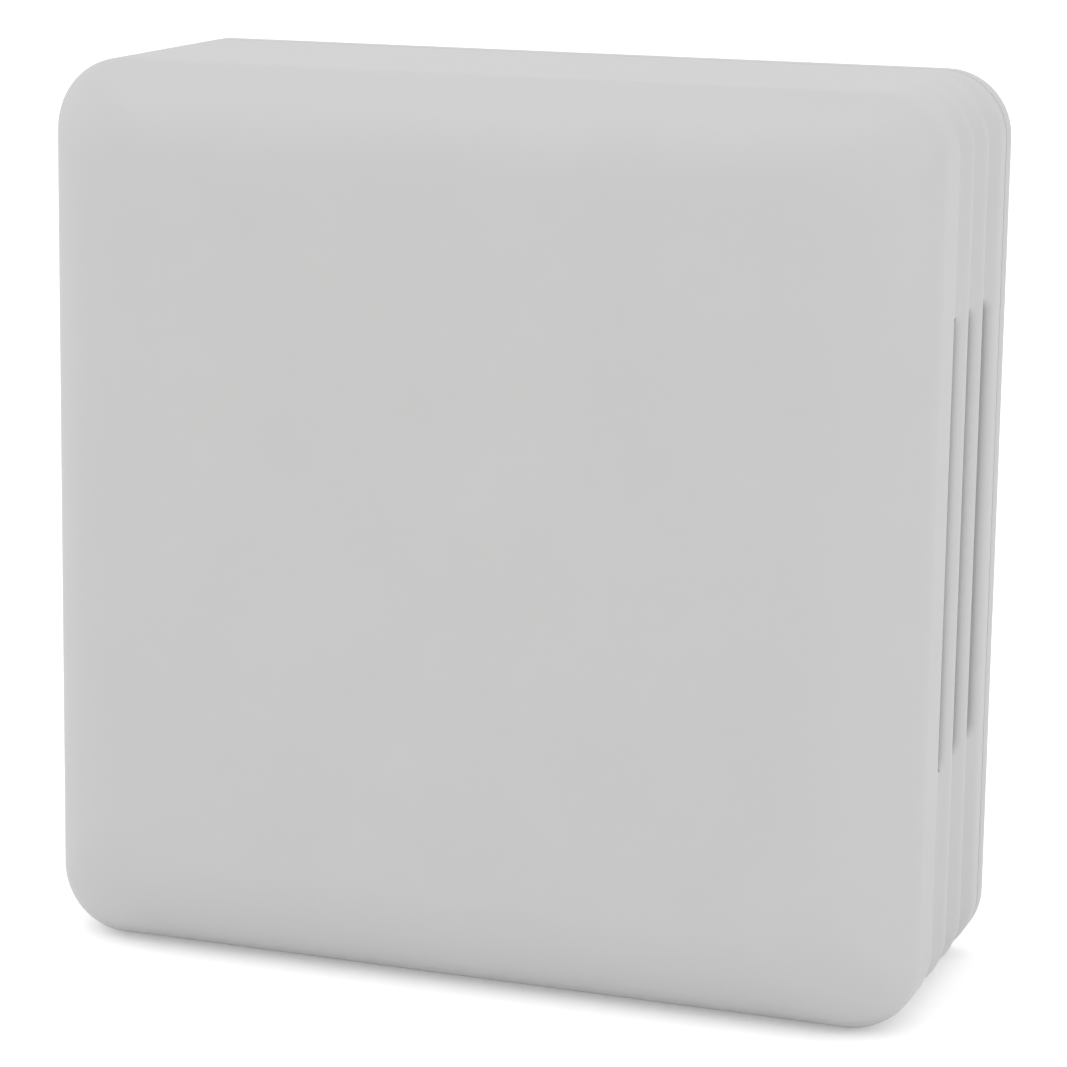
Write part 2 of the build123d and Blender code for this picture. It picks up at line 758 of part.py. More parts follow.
def gull_wings(outward, places, rise, reach, width):
    """Z-shaped leads: each leaves a package at its place, drops to the board and ends in a flat foot."""
    upward = Vector(0, -1, 0)
    knee = reach - lead_foot
    with BuildPart() as wings:
        for x, z in places:
            plane = Plane((x, -board_front, z), x_dir=outward, z_dir=Vector(outward).cross(upward))
            with BuildSketch(plane):
                with BuildLine():
                    Polyline(
                        (0, rise),
                        (knee, rise),
                        (knee, lead_thickness),
                        (reach, lead_thickness),
                        (reach, 0),
                        (knee - lead_thickness, 0),
                        (knee - lead_thickness, rise - lead_thickness),
                        (0, rise - lead_thickness),
                        close=True,
                    )
                make_face()
            extrude(amount=width / 2, both=True)
    return wings.part


# Microcontroller: square flat package with leads on four sides
with BuildPart(Plane.XZ) as microcontroller:
    with Locations((controller_x, controller_z, board_front + stand_off)):
        Box(controller_side, controller_side, controller_height, align=standing)
microcontroller.part.label = "microcontroller"
export_step(microcontroller.part, "parts/microcontroller.step")

lead_offsets = [
    (place - (controller_leads - 1) / 2) * controller_lead_pitch for place in range(controller_leads)
]
controller_rise = stand_off + controller_height / 2
with BuildPart() as microcontroller_leads:
    for side in sides:
        edge_x = controller_x + side * controller_side / 2
        edge_z = controller_z + side * controller_side / 2
        side_places = [(edge_x, controller_z + offset) for offset in lead_offsets]
        end_places = [(controller_x + offset, edge_z) for offset in lead_offsets]
        for outward, places in (((side, 0, 0), side_places), ((0, 0, side), end_places)):
            add(gull_wings(outward, places, controller_rise, controller_lead_reach, controller_lead_width))
microcontroller_leads.part.label = "microcontroller_leads"
export_step(microcontroller_leads.part, "parts/microcontroller_leads.step")

# Output amplifiers: two flat packages with leads on two sides
amplifier_middle = (amplifier_leads_per_side - 1) / 2
with BuildPart(Plane.XZ) as amplifiers:
    with Locations(*[(amplifier_x, z, board_front + stand_off) for z in amplifier_zs]):
        Box(amplifier_width, amplifier_length, amplifier_height, align=standing)
amplifiers.part.label = "amplifiers"
export_step(amplifiers.part, "parts/amplifiers.step")

with BuildPart() as amplifier_leads:
    for side in sides:
        places = [
            (
                amplifier_x + side * amplifier_width / 2,
                z + (number - amplifier_middle) * amplifier_lead_pitch,
            )
            for z in amplifier_zs
            for number in range(amplifier_leads_per_side)
        ]
        rise = stand_off + amplifier_height / 2
        add(gull_wings((side, 0, 0), places, rise, amplifier_lead_reach, amplifier_lead_width))
amplifier_leads.part.label = "amplifier_leads"
export_step(amplifier_leads.part, "parts/amplifier_leads.step")

# Voltage regulator: flat package with three leads below and a wide tab above
with BuildPart(Plane.XZ) as voltage_regulator:
    with Locations((regulator_x, regulator_z, board_front)):
        Box(regulator_width, regulator_length, regulator_height, align=standing)
voltage_regulator.part.label = "voltage_regulator"
export_step(voltage_regulator.part, "parts/voltage_regulator.step")

with BuildPart() as regulator_leads:
    rise = regulator_height / 2
    lower = regulator_z - regulator_length / 2
    upper = regulator_z + regulator_length / 2
    lead_places = [(regulator_x + step * regulator_lead_pitch, lower) for step in (-1, 0, 1)]
    add(gull_wings((0, 0, -1), lead_places, rise, regulator_lead_reach, regulator_lead_width))
    add(gull_wings((0, 0, 1), [(regulator_x, upper)], rise, regulator_lead_reach, regulator_tab_width))
regulator_leads.part.label = "regulator_leads"
export_step(regulator_leads.part, "parts/regulator_leads.step")

# Electrolytic capacitors: round cans on square plastic bases
can_seat = board_front + can_base_height
with BuildPart() as capacitor_bases:
    with BuildSketch(Plane.XZ.offset(board_front)):
        with Locations(*can_places):
            Rectangle(can_base_side, can_base_side)
    extrude(amount=can_base_height)
    chamfer(capacitor_bases.edges().filter_by(Axis.Y).group_by(Axis.X)[-1], can_base_chamfer)
capacitor_bases.part.label = "capacitor_bases"
export_step(capacitor_bases.part, "parts/capacitor_bases.step")

with BuildPart(Plane.XZ) as capacitor_cans:
    with Locations(*[(x, z, can_seat) for x, z in can_places]):
        Cylinder(can_radius, can_height, align=standing)
    fillet(capacitor_cans.edges().group_by(Axis.Y)[0], can_rounding)
    with Locations(*[(x, z, can_seat + can_groove_height) for x, z in can_places]):
        Torus(can_radius + can_groove_width / 2 - can_groove_depth, can_groove_width / 2, mode=Mode.SUBTRACT)
capacitor_cans.part.label = "capacitor_cans"
export_step(capacitor_cans.part, "parts/capacitor_cans.step")

# Rectifier diodes: tapered moulded bodies between folded metal tabs
diode_xs = [(place - (diode_count - 1) / 2) * diode_x_pitch for place in range(diode_count)]
with BuildPart() as rectifier_diodes:
    with BuildSketch(Plane.XZ.offset(board_front + diode_tab_height)):
        with Locations(*[(x, diode_z) for x in diode_xs]):
            Rectangle(diode_width, diode_length)
    extrude(amount=diode_height - diode_tab_height, taper=diode_taper)
    with BuildSketch(Plane.XZ.offset(board_front + diode_tab_height)):
        with Locations(*[(x, diode_z) for x in diode_xs]):
            Rectangle(diode_width, diode_length)
    extrude(amount=-diode_tab_height)
rectifier_diodes.part.label = "rectifier_diodes"
export_step(rectifier_diodes.part, "parts/rectifier_diodes.step")

with BuildPart(Plane.XZ.offset(board_front)) as diode_tabs:
    for side in sides:
        with Locations(*[(x, diode_z + side * diode_length / 2, 0) for x in diode_xs]):
            Box(
                diode_tab_width,
                diode_tab_reach,
                diode_tab_height,
                align=(Align.CENTER, Align.MIN if side > 0 else Align.MAX, Align.MIN),
            )
diode_tabs.part.label = "diode_tabs"
export_step(diode_tabs.part, "parts/diode_tabs.step")

# Power inductor: shielded block with a round well on top
with BuildPart() as power_inductor:
    with BuildSketch(Plane.XZ.offset(board_front)):
        with Locations((inductor_x, inductor_z)):
            RectangleRounded(inductor_side, inductor_side, inductor_corner)
    extrude(amount=inductor_height)
    with BuildSketch(Plane.XZ.offset(board_front + inductor_height)):
        with Locations((inductor_x, inductor_z)):
            Circle(inductor_well_radius)
    extrude(amount=-inductor_well_depth, mode=Mode.SUBTRACT)
power_inductor.part.label = "power_inductor"
export_step(power_inductor.part, "parts/power_inductor.step")

# Status LED: white body with a clear lens set into it
led_top = board_front + led_height
with BuildPart(Plane.XZ) as status_led:
    with Locations((led_x, led_z, board_front)):
        Box(led_length, led_width, led_height, align=standing)
    with Locations((led_x, led_z, led_top)):
        Hole(lens_radius, depth=lens_depth)
status_led.part.label = "status_led"
export_step(status_led.part, "parts/status_led.step")

with BuildPart(Plane.XZ) as led_lens:
    with Locations((led_x, led_z, led_top)):
        Cylinder(lens_radius - contact_clearance, lens_depth, align=hanging)
led_lens.part.label = "led_lens"
export_step(led_lens.part, "parts/led_lens.step")

# Chip resistors and chip capacitors lie along X, with a metal end at each side of the body
resistor_places, chip_capacitor_places = (
    [(x, board_bottom + up - row * chip_pitch) for x, up, count in columns for row in range(count)]
    for columns in (resistor_columns, chip_capacitor_columns)
)
with BuildPart(Plane.XZ.offset(board_front)) as chip_resistors:
    with Locations(*[(x, z, 0) for x, z in resistor_places]):
        Box(chip_body, chip_width, resistor_height, align=standing)
chip_resistors.part.label = "chip_resistors"
export_step(chip_resistors.part, "parts/chip_resistors.step")

with BuildPart(Plane.XZ.offset(board_front)) as chip_capacitors:
    with Locations(*[(x, z, 0) for x, z in chip_capacitor_places]):
        Box(chip_body, chip_width, chip_capacitor_height, align=standing)
chip_capacitors.part.label = "chip_capacitors"
export_step(chip_capacitors.part, "parts/chip_capacitors.step")

with BuildPart(Plane.XZ.offset(board_front)) as chip_ends:
    for side in sides:
        offset = side * (chip_body + chip_end) / 2
        with Locations(*[(x + offset, z, 0) for x, z in resistor_places]):
            Box(chip_end, chip_width, resistor_height, align=standing)
        with Locations(*[(x + offset, z, 0) for x, z in chip_capacitor_places]):
            Box(chip_end, chip_width, chip_capacitor_height, align=standing)
chip_ends.part.label = "chip_ends"
export_step(chip_ends.part, "parts/chip_ends.step")

# Sensing board: stands on edge beside the right-hand vents
sensor_pin_depth = board_front + sensor_pin_rise
with BuildPart(Plane.XZ) as sensor_board:
    with Locations((sensor_x, sensor_z, board_front)):
        Box(sensor_board_thickness, sensor_board_height, sensor_board_reach, align=standing)
    with BuildSketch(Plane.YZ.offset(sensor_x - sensor_board_thickness / 2)):
        with Locations(*[(-sensor_pin_depth, z) for z in sensor_zs]):
            Circle(pin_hole_radius)
    extrude(amount=sensor_board_thickness, mode=Mode.SUBTRACT)
sensor_board.part.label = "sensor_board"
export_step(sensor_board.part, "parts/sensor_board.step")

# Sensing board's angled header: plastic block and bent pins
header_length = sensor_pin_count * sensor_pin_pitch
pin_bend_reach = sensor_x + sensor_board_thickness / 2 + pin_reach - header_x + pin_width / 2
with BuildPart(Plane.XZ) as sensor_header:
    with Locations((header_x, sensor_z, board_front)):
        Box(header_width, header_length, header_height, align=standing)
    with Locations(*[(x, z, board_front + header_height) for x, z in header_pins_at]):
        Box(
            pin_width + 2 * contact_clearance,
            pin_width + 2 * contact_clearance,
            header_height,
            align=hanging,
            mode=Mode.SUBTRACT,
        )
sensor_header.part.label = "sensor_header"
export_step(sensor_header.part, "parts/sensor_header.step")

with BuildPart(Plane.XZ) as sensor_header_pins:
    with Locations(*[(x, z, sensor_pin_depth + pin_width / 2) for x, z in header_pins_at]):
        Box(pin_width, pin_width, sensor_pin_depth + pin_width / 2 - pin_tip, align=hanging)
    with Locations(*[(x - pin_width / 2, z, sensor_pin_depth) for x, z in header_pins_at]):
        Box(pin_bend_reach, pin_width, pin_width, align=(Align.MIN, Align.CENTER, Align.CENTER))
sensor_header_pins.part.label = "sensor_header_pins"
export_step(sensor_header_pins.part, "parts/sensor_header_pins.step")

# Humidity element: moulded package with an open port, on the face of the sensing board towards the vents
sensor_face = sensor_x + sensor_board_thickness / 2
element_depth = board_front + element_rise
sensing_plane = Plane((sensor_face, -element_depth, sensor_z), x_dir=(0, -1, 0), z_dir=(1, 0, 0))
with BuildPart(sensing_plane) as humidity_element:
    Box(element_side, element_side, element_height, align=standing)
    with Locations((0, 0, element_height)):
        Hole(element_port_radius, depth=element_port_depth)
humidity_element.part.label = "humidity_element"
export_step(humidity_element.part, "parts/humidity_element.step")

with BuildPart(sensing_plane) as element_pads:
    for side in sides:
        edge = side * element_side / 2
        with Locations(*[(edge, step * element_pad_pitch, 0) for step in (-1, 0, 1)]):
            Box(
                element_pad_length,
                element_pad_width,
                element_pad_length,
                align=(Align.MIN if side > 0 else Align.MAX, Align.CENTER, Align.MIN),
            )
element_pads.part.label = "element_pads"
export_step(element_pads.part, "parts/element_pads.step")

# Filter cap over the element, with a membrane behind its hole
with BuildPart(sensing_plane) as filter_cap:
    Box(cap_side, cap_side, cap_height, align=standing)
    Box(
        cap_side - 2 * cap_wall,
        cap_side - 2 * cap_wall,
        cap_height - cap_wall,
        align=standing,
        mode=Mode.SUBTRACT,
    )
    with Locations((0, 0, cap_height)):
        Hole(cap_hole_radius, depth=cap_wall)
filter_cap.part.label = "filter_cap"
export_step(filter_cap.part, "parts/filter_cap.step")

with BuildPart(sensing_plane) as filter_membrane:
    with Locations((0, 0, cap_height - cap_wall)):
        Cylinder(membrane_radius, membrane_thickness, align=hanging)
filter_membrane.part.label = "filter_membrane"
export_step(filter_membrane.part, "parts/filter_membrane.step")

# Thermistor: a bead on two leads, clear of the board's warmth
bead_start = board_front + thermistor_rise
with BuildPart(Plane.XZ) as thermistor:
    with Locations((sensor_x, thermistor_z, bead_start)):
        Cylinder(thermistor_radius, thermistor_length, align=standing)
    fillet(thermistor.edges().filter_by(GeomType.CIRCLE), thermistor_rounding)
thermistor.part.label = "thermistor"
export_step(thermistor.part, "parts/thermistor.step")

with BuildPart(Plane.XZ) as thermistor_leads:
    with Locations(*[(x, z, bead_start) for x, z in thermistor_pins_at]):
        Cylinder(thermistor_lead_radius, bead_start - pin_tip, align=hanging)
thermistor_leads.part.label = "thermistor_leads"
export_step(thermistor_leads.part, "parts/thermistor_leads.step")
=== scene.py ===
import json
import math

import bmesh
import bpy
from mathutils import Matrix, Vector

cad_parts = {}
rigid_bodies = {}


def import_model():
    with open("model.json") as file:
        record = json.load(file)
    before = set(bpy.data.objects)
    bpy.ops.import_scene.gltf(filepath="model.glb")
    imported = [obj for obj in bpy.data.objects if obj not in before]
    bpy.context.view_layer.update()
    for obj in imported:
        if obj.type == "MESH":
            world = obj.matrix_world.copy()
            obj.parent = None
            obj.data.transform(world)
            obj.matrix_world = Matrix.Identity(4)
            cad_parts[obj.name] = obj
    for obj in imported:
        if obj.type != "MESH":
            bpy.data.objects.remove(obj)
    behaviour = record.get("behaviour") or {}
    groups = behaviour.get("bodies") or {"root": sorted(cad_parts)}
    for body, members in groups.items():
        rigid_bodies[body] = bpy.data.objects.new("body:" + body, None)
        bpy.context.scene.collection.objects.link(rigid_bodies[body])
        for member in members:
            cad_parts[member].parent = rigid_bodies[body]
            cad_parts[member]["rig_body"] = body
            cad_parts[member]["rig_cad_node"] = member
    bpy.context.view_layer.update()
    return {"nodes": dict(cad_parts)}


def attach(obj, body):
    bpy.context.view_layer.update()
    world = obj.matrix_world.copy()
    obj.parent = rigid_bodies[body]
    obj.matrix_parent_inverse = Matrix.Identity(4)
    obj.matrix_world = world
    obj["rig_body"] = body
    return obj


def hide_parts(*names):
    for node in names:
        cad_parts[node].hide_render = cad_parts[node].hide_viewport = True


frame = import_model()
nodes = frame["nodes"]


# Base plate. The flat moulded back of the case, light grey ABS, with ribs on its back and its rim,
# hooks, board posts and lock tab on the room side. Two screws in its slots hold it to the wall.
MM = 0.001
crease = math.radians(35.0)
plate_front = 2.0


def plastic(name, colour, roughness, grain, relief, mottle=0.02, reflectance=0.4, unevenness=0.06):
    """Moulded plastic: slow drift of tone, fine grain of that size in metres, and uneven gloss."""
    material = bpy.data.materials.new(name)
    material.use_nodes = True
    tree = material.node_tree
    shader = tree.nodes["Principled BSDF"]
    shader.inputs["Specular IOR Level"].default_value = reflectance
    place = tree.nodes.new("ShaderNodeTexCoord")

    tone = tree.nodes.new("ShaderNodeTexNoise")
    tone.inputs["Scale"].default_value = 90.0
    tone.inputs["Detail"].default_value = 3.0
    tree.links.new(place.outputs["Object"], tone.inputs["Vector"])
    mix = tree.nodes.new("ShaderNodeMix")
    mix.data_type = "RGBA"
    mix.inputs["A"].default_value = [*(c * (1.0 - mottle) for c in colour), 1.0]
    mix.inputs["B"].default_value = [*(min(1.0, c * (1.0 + mottle)) for c in colour), 1.0]
    tree.links.new(tone.outputs["Fac"], mix.inputs["Factor"])
    tree.links.new(mix.outputs["Result"], shader.inputs["Base Color"])

    sparks = tree.nodes.new("ShaderNodeTexNoise")
    sparks.inputs["Scale"].default_value = 1.0 / grain
    sparks.inputs["Detail"].default_value = 2.0
    sparks.inputs["Roughness"].default_value = 0.6
    tree.links.new(place.outputs["Object"], sparks.inputs["Vector"])
    gloss = tree.nodes.new("ShaderNodeMapRange")
    gloss.inputs["To Min"].default_value = roughness - unevenness
    gloss.inputs["To Max"].default_value = roughness + unevenness
    tree.links.new(sparks.outputs["Fac"], gloss.inputs["Value"])
    tree.links.new(gloss.outputs["Result"], shader.inputs["Roughness"])
    bump = tree.nodes.new("ShaderNodeBump")
    bump.inputs["Strength"].default_value = 0.6
    bump.inputs["Distance"].default_value = relief
    tree.links.new(sparks.outputs["Fac"], bump.inputs["Height"])
    tree.links.new(bump.outputs["Normal"], shader.inputs["Normal"])
    return material


def dress(piece, material):
    """The whole piece gets that one material."""
    piece.data.materials.clear()
    piece.data.materials.append(material)


def settle(piece):
    """The piece's modifiers become part of its mesh, shaded smooth between its sharp edges."""
    bpy.context.view_layer.update()
    graph = bpy.context.evaluated_depsgraph_get()
    mesh = bpy.data.meshes.new_from_object(piece.evaluated_get(graph))
    piece.modifiers.clear()
    piece.data = mesh
    mesh.shade_smooth()
    mesh.set_sharp_from_angle(angle=crease)


def softened(node, material, edge):
    """A copy of a CAD node with its sharp edges broken by that much, standing for the node."""
    mesh = nodes[node].data.copy()
    cleaned = bmesh.new()
    cleaned.from_mesh(mesh)
    bmesh.ops.remove_doubles(cleaned, verts=cleaned.verts, dist=0.001 * MM)
    bmesh.ops.dissolve_limit(
        cleaned, angle_limit=math.radians(0.5), verts=cleaned.verts, edges=cleaned.edges
    )
    cleaned.to_mesh(mesh)
    cleaned.free()
    piece = bpy.data.objects.new(node + "_moulding", mesh)
    bpy.context.scene.collection.objects.link(piece)
    bevel = piece.modifiers.new("Broken edges", "BEVEL")
    bevel.width = edge
    bevel.segments = 2
    bevel.limit_method = "ANGLE"
    bevel.angle_limit = crease
    settle(piece)
    dress(piece, material)
    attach(piece, nodes[node]["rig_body"])
    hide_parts(node)
    return piece


def calc(tree, operation, *values):
    """A Math node on numbers or sockets, and its result."""
    node = tree.nodes.new("ShaderNodeMath")
    node.operation = operation
    for socket, value in zip(node.inputs, values):
        if isinstance(value, bpy.types.NodeSocket):
            tree.links.new(value, socket)
        else:
            socket.default_value = value
    return node.outputs[0]


def new_tree(name, sizes):
    """An empty geometry tree with those named size inputs, its input node and its output socket."""
    tree = bpy.data.node_groups.new(name, "GeometryNodeTree")
    tree.interface.new_socket("Geometry", in_out="INPUT", socket_type="NodeSocketGeometry")
    tree.interface.new_socket("Geometry", in_out="OUTPUT", socket_type="NodeSocketGeometry")
    tree.interface.new_socket("Material", in_out="INPUT", socket_type="NodeSocketMaterial")
    for size in sizes:
        tree.interface.new_socket(size, in_out="INPUT", socket_type="NodeSocketFloat")
    given = tree.nodes.new("NodeGroupInput")
    result = tree.nodes.new("NodeGroupOutput")
    return tree, given, result.inputs["Geometry"]


def close_tree(tree, geometry, given, result):
    """Realizes the instances, sets the given material and joins them to the tree's output."""
    real = tree.nodes.new("GeometryNodeRealizeInstances")
    painted = tree.nodes.new("GeometryNodeSetMaterial")
    tree.links.new(given.outputs["Material"], painted.inputs["Material"])
    tree.links.new(geometry, real.inputs["Geometry"])
    tree.links.new(real.outputs["Geometry"], painted.inputs["Geometry"])
    tree.links.new(painted.outputs["Geometry"], result)


def grow(piece, tree, sizes, material):
    """Runs the tree on the piece with those sizes and that material, and keeps the plain mesh."""
    modifier = piece.modifiers.new(tree.name, "NODES")
    modifier.node_group = tree
    for item in tree.interface.items_tree:
        if item.in_out == "INPUT" and item.name in sizes:
            modifier[item.identifier] = sizes[item.name]
        if item.in_out == "INPUT" and item.name == "Material":
            modifier[item.identifier] = material
    settle(piece)


ring_sizes = ("Inner radius", "Foot radius", "Knee radius", "Knee height", "Height")
rings, given, result = new_tree("Rings on points", ring_sizes)
circle = rings.nodes.new("GeometryNodeCurvePrimitiveCircle")
circle.inputs["Resolution"].default_value = 20
rings.links.new(given.outputs["Inner radius"], circle.inputs["Radius"])
section = rings.nodes.new("GeometryNodeCurvePrimitiveQuadrilateral")
section.mode = "POINTS"
corners = (("Foot radius", None), ("Knee radius", "Knee height"), (None, "Height"), (None, None))
for number, (radius, height) in enumerate(corners, 1):
    corner = rings.nodes.new("ShaderNodeCombineXYZ")
    if radius:
        reach_out = calc(rings, "SUBTRACT", given.outputs[radius], given.outputs["Inner radius"])
        rings.links.new(reach_out, corner.inputs["X"])
    if height:
        rings.links.new(calc(rings, "MULTIPLY", given.outputs[height], -1.0), corner.inputs["Y"])
    rings.links.new(corner.outputs["Vector"], section.inputs[f"Point {number}"])
sweep = rings.nodes.new("GeometryNodeCurveToMesh")
rings.links.new(circle.outputs["Curve"], sweep.inputs["Curve"])
rings.links.new(section.outputs["Curve"], sweep.inputs["Profile Curve"])
scatter = rings.nodes.new("GeometryNodeInstanceOnPoints")
rings.links.new(given.outputs["Geometry"], scatter.inputs["Points"])
rings.links.new(sweep.outputs["Mesh"], scatter.inputs["Instance"])
close_tree(rings, scatter.outputs["Instances"], given, result)


def laid(name, points, edges, stand, tree, sizes, material, slot, body="base"):
    """Grows the tree on flat points and lines in millimetres and stands it up in its place."""
    mesh = bpy.data.meshes.new(name)
    mesh.from_pydata([(u * MM, v * MM, 0.0) for u, v in points], edges, [])
    piece = bpy.data.objects.new(name, mesh)
    bpy.context.scene.collection.objects.link(piece)
    grow(piece, tree, {key: value * MM for key, value in sizes.items()}, material)
    tidied = bmesh.new()
    tidied.from_mesh(piece.data)
    bmesh.ops.recalc_face_normals(tidied, faces=tidied.faces)
    tidied.to_mesh(piece.data)
    tidied.free()
    piece.data.transform(stand)
    dress(piece, material)
    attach(piece, body)
    return piece


case_finish = plastic(
    "Housing, light grey ABS", (0.585, 0.585, 0.583),
    roughness=0.52, grain=0.22 * MM, relief=0.012 * MM,
)
softened("base_plate", case_finish, edge=0.12 * MM)


def facing_room(depth):
    """Stands flat points up on a surface at that depth in millimetres, seen from the room."""
    return Matrix.Translation((0.0, -depth * MM, 0.0)) @ Matrix.Rotation(math.pi / 2, 4, "X")


def ring(*sizes):
    """The sizes of one kind of ring in millimetres, in the order of the tree's inputs."""
    return dict(zip(ring_sizes, sizes))


ejector_ring = ring(1.7, 1.9, 1.85, 0.04, 0.03)
plate_marks = [(x, z) for x in (-31.0, 31.0) for z in (-30.0, 15.0, 31.0)]
plate_marks += [(-20.0, 33.5), (20.0, 33.5)]
plate_face = facing_room(plate_front)
laid("plate_marks", plate_marks, [], plate_face, rings, ejector_ring, case_finish, "case_plastic")


# Lock screw and nut. A slotted M2.5 screw of zinc-plated steel goes up through the cover's lower
# edge into a square steel nut, which sits in a pocket of the base plate's tab.
tarnished, polished = 0.78, 1.08


def metal(name, colour, roughness, brushed, unevenness=0.1, relief=0.004 * MM):
    """Bare metal: brush marks by those scales per metre, patches of tarnish, and uneven gloss."""
    material = bpy.data.materials.new(name)
    material.use_nodes = True
    tree = material.node_tree
    shader = tree.nodes["Principled BSDF"]
    shader.inputs["Metallic"].default_value = 1.0
    place = tree.nodes.new("ShaderNodeTexCoord")
    spread = tree.nodes.new("ShaderNodeMapping")
    spread.inputs["Scale"].default_value = brushed
    tree.links.new(place.outputs["Object"], spread.inputs["Vector"])
    marks = tree.nodes.new("ShaderNodeTexNoise")
    marks.inputs["Scale"].default_value = 1.0
    marks.inputs["Detail"].default_value = 3.0
    tree.links.new(spread.outputs["Vector"], marks.inputs["Vector"])
    patches = tree.nodes.new("ShaderNodeTexNoise")
    patches.inputs["Scale"].default_value = 600.0
    patches.inputs["Detail"].default_value = 4.0
    tree.links.new(place.outputs["Object"], patches.inputs["Vector"])
    mix = tree.nodes.new("ShaderNodeMix")
    mix.data_type = "RGBA"
    mix.inputs["A"].default_value = [*(c * tarnished for c in colour), 1.0]
    mix.inputs["B"].default_value = [*(min(1.0, c * polished) for c in colour), 1.0]
    tree.links.new(patches.outputs["Fac"], mix.inputs["Factor"])
    tree.links.new(mix.outputs["Result"], shader.inputs["Base Color"])
    gloss = tree.nodes.new("ShaderNodeMapRange")
    gloss.inputs["To Min"].default_value = roughness - unevenness
    gloss.inputs["To Max"].default_value = roughness + unevenness
    tree.links.new(marks.outputs["Fac"], gloss.inputs["Value"])
    tree.links.new(gloss.outputs["Result"], shader.inputs["Roughness"])
    bump = tree.nodes.new("ShaderNodeBump")
    bump.inputs["Strength"].default_value = 0.5
    bump.inputs["Distance"].default_value = relief
    tree.links.new(marks.outputs["Fac"], bump.inputs["Height"])
    tree.links.new(bump.outputs["Normal"], shader.inputs["Normal"])
    return material


zinc = metal(
    "Zinc plate on steel", (0.62, 0.62, 0.60), roughness=0.36, brushed=(2500.0, 2500.0, 700.0)
)
softened("lock_screw", zinc, edge=0.07 * MM)
softened("lock_nut", zinc, edge=0.08 * MM)


# Circuit board. Glass-fibre laminate 1.6 mm thick under green solder mask, with copper tracks,
# tinned pads, covered vias and white ink outlines. It lies on four posts of the base plate.
board_back, board_front = 8.0, 9.6
terminal_z, terminal_pitch, pin_pitch = -0.15, 5.0, 2.54
controller_x, controller_z, controller_pitch, controller_tip = -5.0, -14.5, 0.8, 4.6
amplifier_x, amplifier_zs, amplifier_pitch, amplifier_tip = 7.0, (-12.0, -19.2), 1.27, 2.7
switch_x, switch_z, switch_reach = -24.0, -15.0, 2.5
trimmer_x, trimmer_z, trimmer_pitch = -12.5, -25.5, 2.5
button_x, button_z, button_reach, button_rise = 8.0, -26.5, 3.25, 2.25
header_x, header_z = 29.05, -15.0
regulator_x, regulator_pitch = 19.0, 2.3
coil_x, coil_z, coil_reach = -19.5, -4.6, 2.6
can_x, can_zs = 17.0, (-13.5, -21.5)
diode_z, diode_pitch, diode_reach = -6.4, 6.2, 2.5
lamp_z = -28.5
thermistor_pins = [(31.0, -24.1), (31.0, -25.5)]
ends = (-1, 1)
tin_colour = (0.66, 0.66, 0.65)
ink_colour = (0.74, 0.74, 0.70)

strips, given, result = new_tree("Strips along lines", ("Width", "Thickness"))
lines = strips.nodes.new("GeometryNodeMeshToCurve")
section = strips.nodes.new("GeometryNodeCurvePrimitiveQuadrilateral")
sweep = strips.nodes.new("GeometryNodeCurveToMesh")
sweep.inputs["Fill Caps"].default_value = True
strips.links.new(given.outputs["Geometry"], lines.inputs["Mesh"])
strips.links.new(given.outputs["Width"], section.inputs["Width"])
strips.links.new(given.outputs["Thickness"], section.inputs["Height"])
strips.links.new(lines.outputs["Curve"], sweep.inputs["Curve"])
strips.links.new(section.outputs["Curve"], sweep.inputs["Profile Curve"])
close_tree(strips, sweep.outputs["Mesh"], given, result)


def facing_wall(depth):
    """Stands flat points up on a surface at that depth in millimetres, seen from the wall."""
    return Matrix.Translation((0.0, -depth * MM, 0.0)) @ Matrix.Rotation(-math.pi / 2, 4, "X")


on_front = facing_room(board_front)
on_back = facing_wall(board_back)


def masked_laminate(name, mask_colour, face_axis):
    """Solder mask with the glass weave faintly raised in it, and tan laminate on the cut edges."""
    material = plastic(
        name, mask_colour,
        roughness=0.36, grain=0.3 * MM, relief=0.004 * MM, mottle=0.08, reflectance=0.5,
    )
    tree = material.node_tree
    shader = tree.nodes["Principled BSDF"]
    place = tree.nodes.new("ShaderNodeTexCoord")
    threads = []
    for direction in ("X", "Y", "Z"):
        if direction != face_axis:
            wave = tree.nodes.new("ShaderNodeTexWave")
            wave.bands_direction = direction
            wave.inputs["Scale"].default_value = 620.0
            wave.inputs["Distortion"].default_value = 0.4
            tree.links.new(place.outputs["Object"], wave.inputs["Vector"])
            threads.append(wave.outputs["Fac"])
    weave = tree.nodes.new("ShaderNodeBump")
    weave.inputs["Strength"].default_value = 0.35
    weave.inputs["Distance"].default_value = 0.01 * MM
    tree.links.new(calc(tree, "MAXIMUM", *threads), weave.inputs["Height"])
    tree.links.new(shader.inputs["Normal"].links[0].from_socket, weave.inputs["Normal"])
    tree.links.new(weave.outputs["Normal"], shader.inputs["Normal"])
    facing = tree.nodes.new("ShaderNodeSeparateXYZ")
    tree.links.new(place.outputs["Normal"], facing.inputs[0])
    flat = calc(tree, "GREATER_THAN", calc(tree, "ABSOLUTE", facing.outputs[face_axis]), 0.6)
    edge = tree.nodes.new("ShaderNodeMix")
    edge.data_type = "RGBA"
    edge.inputs["A"].default_value = (0.40, 0.34, 0.16, 1.0)
    tree.links.new(shader.inputs["Base Color"].links[0].from_socket, edge.inputs["B"])
    tree.links.new(flat, edge.inputs["Factor"])
    tree.links.new(edge.outputs["Result"], shader.inputs["Base Color"])
    return material


def rows_of(paths):
    """The points and edges of a list of paths."""
    points, edges = [], []
    for path in paths:
        edges += [(len(points) + k, len(points) + k + 1) for k in range(len(path) - 1)]
        points += path
    return points, edges


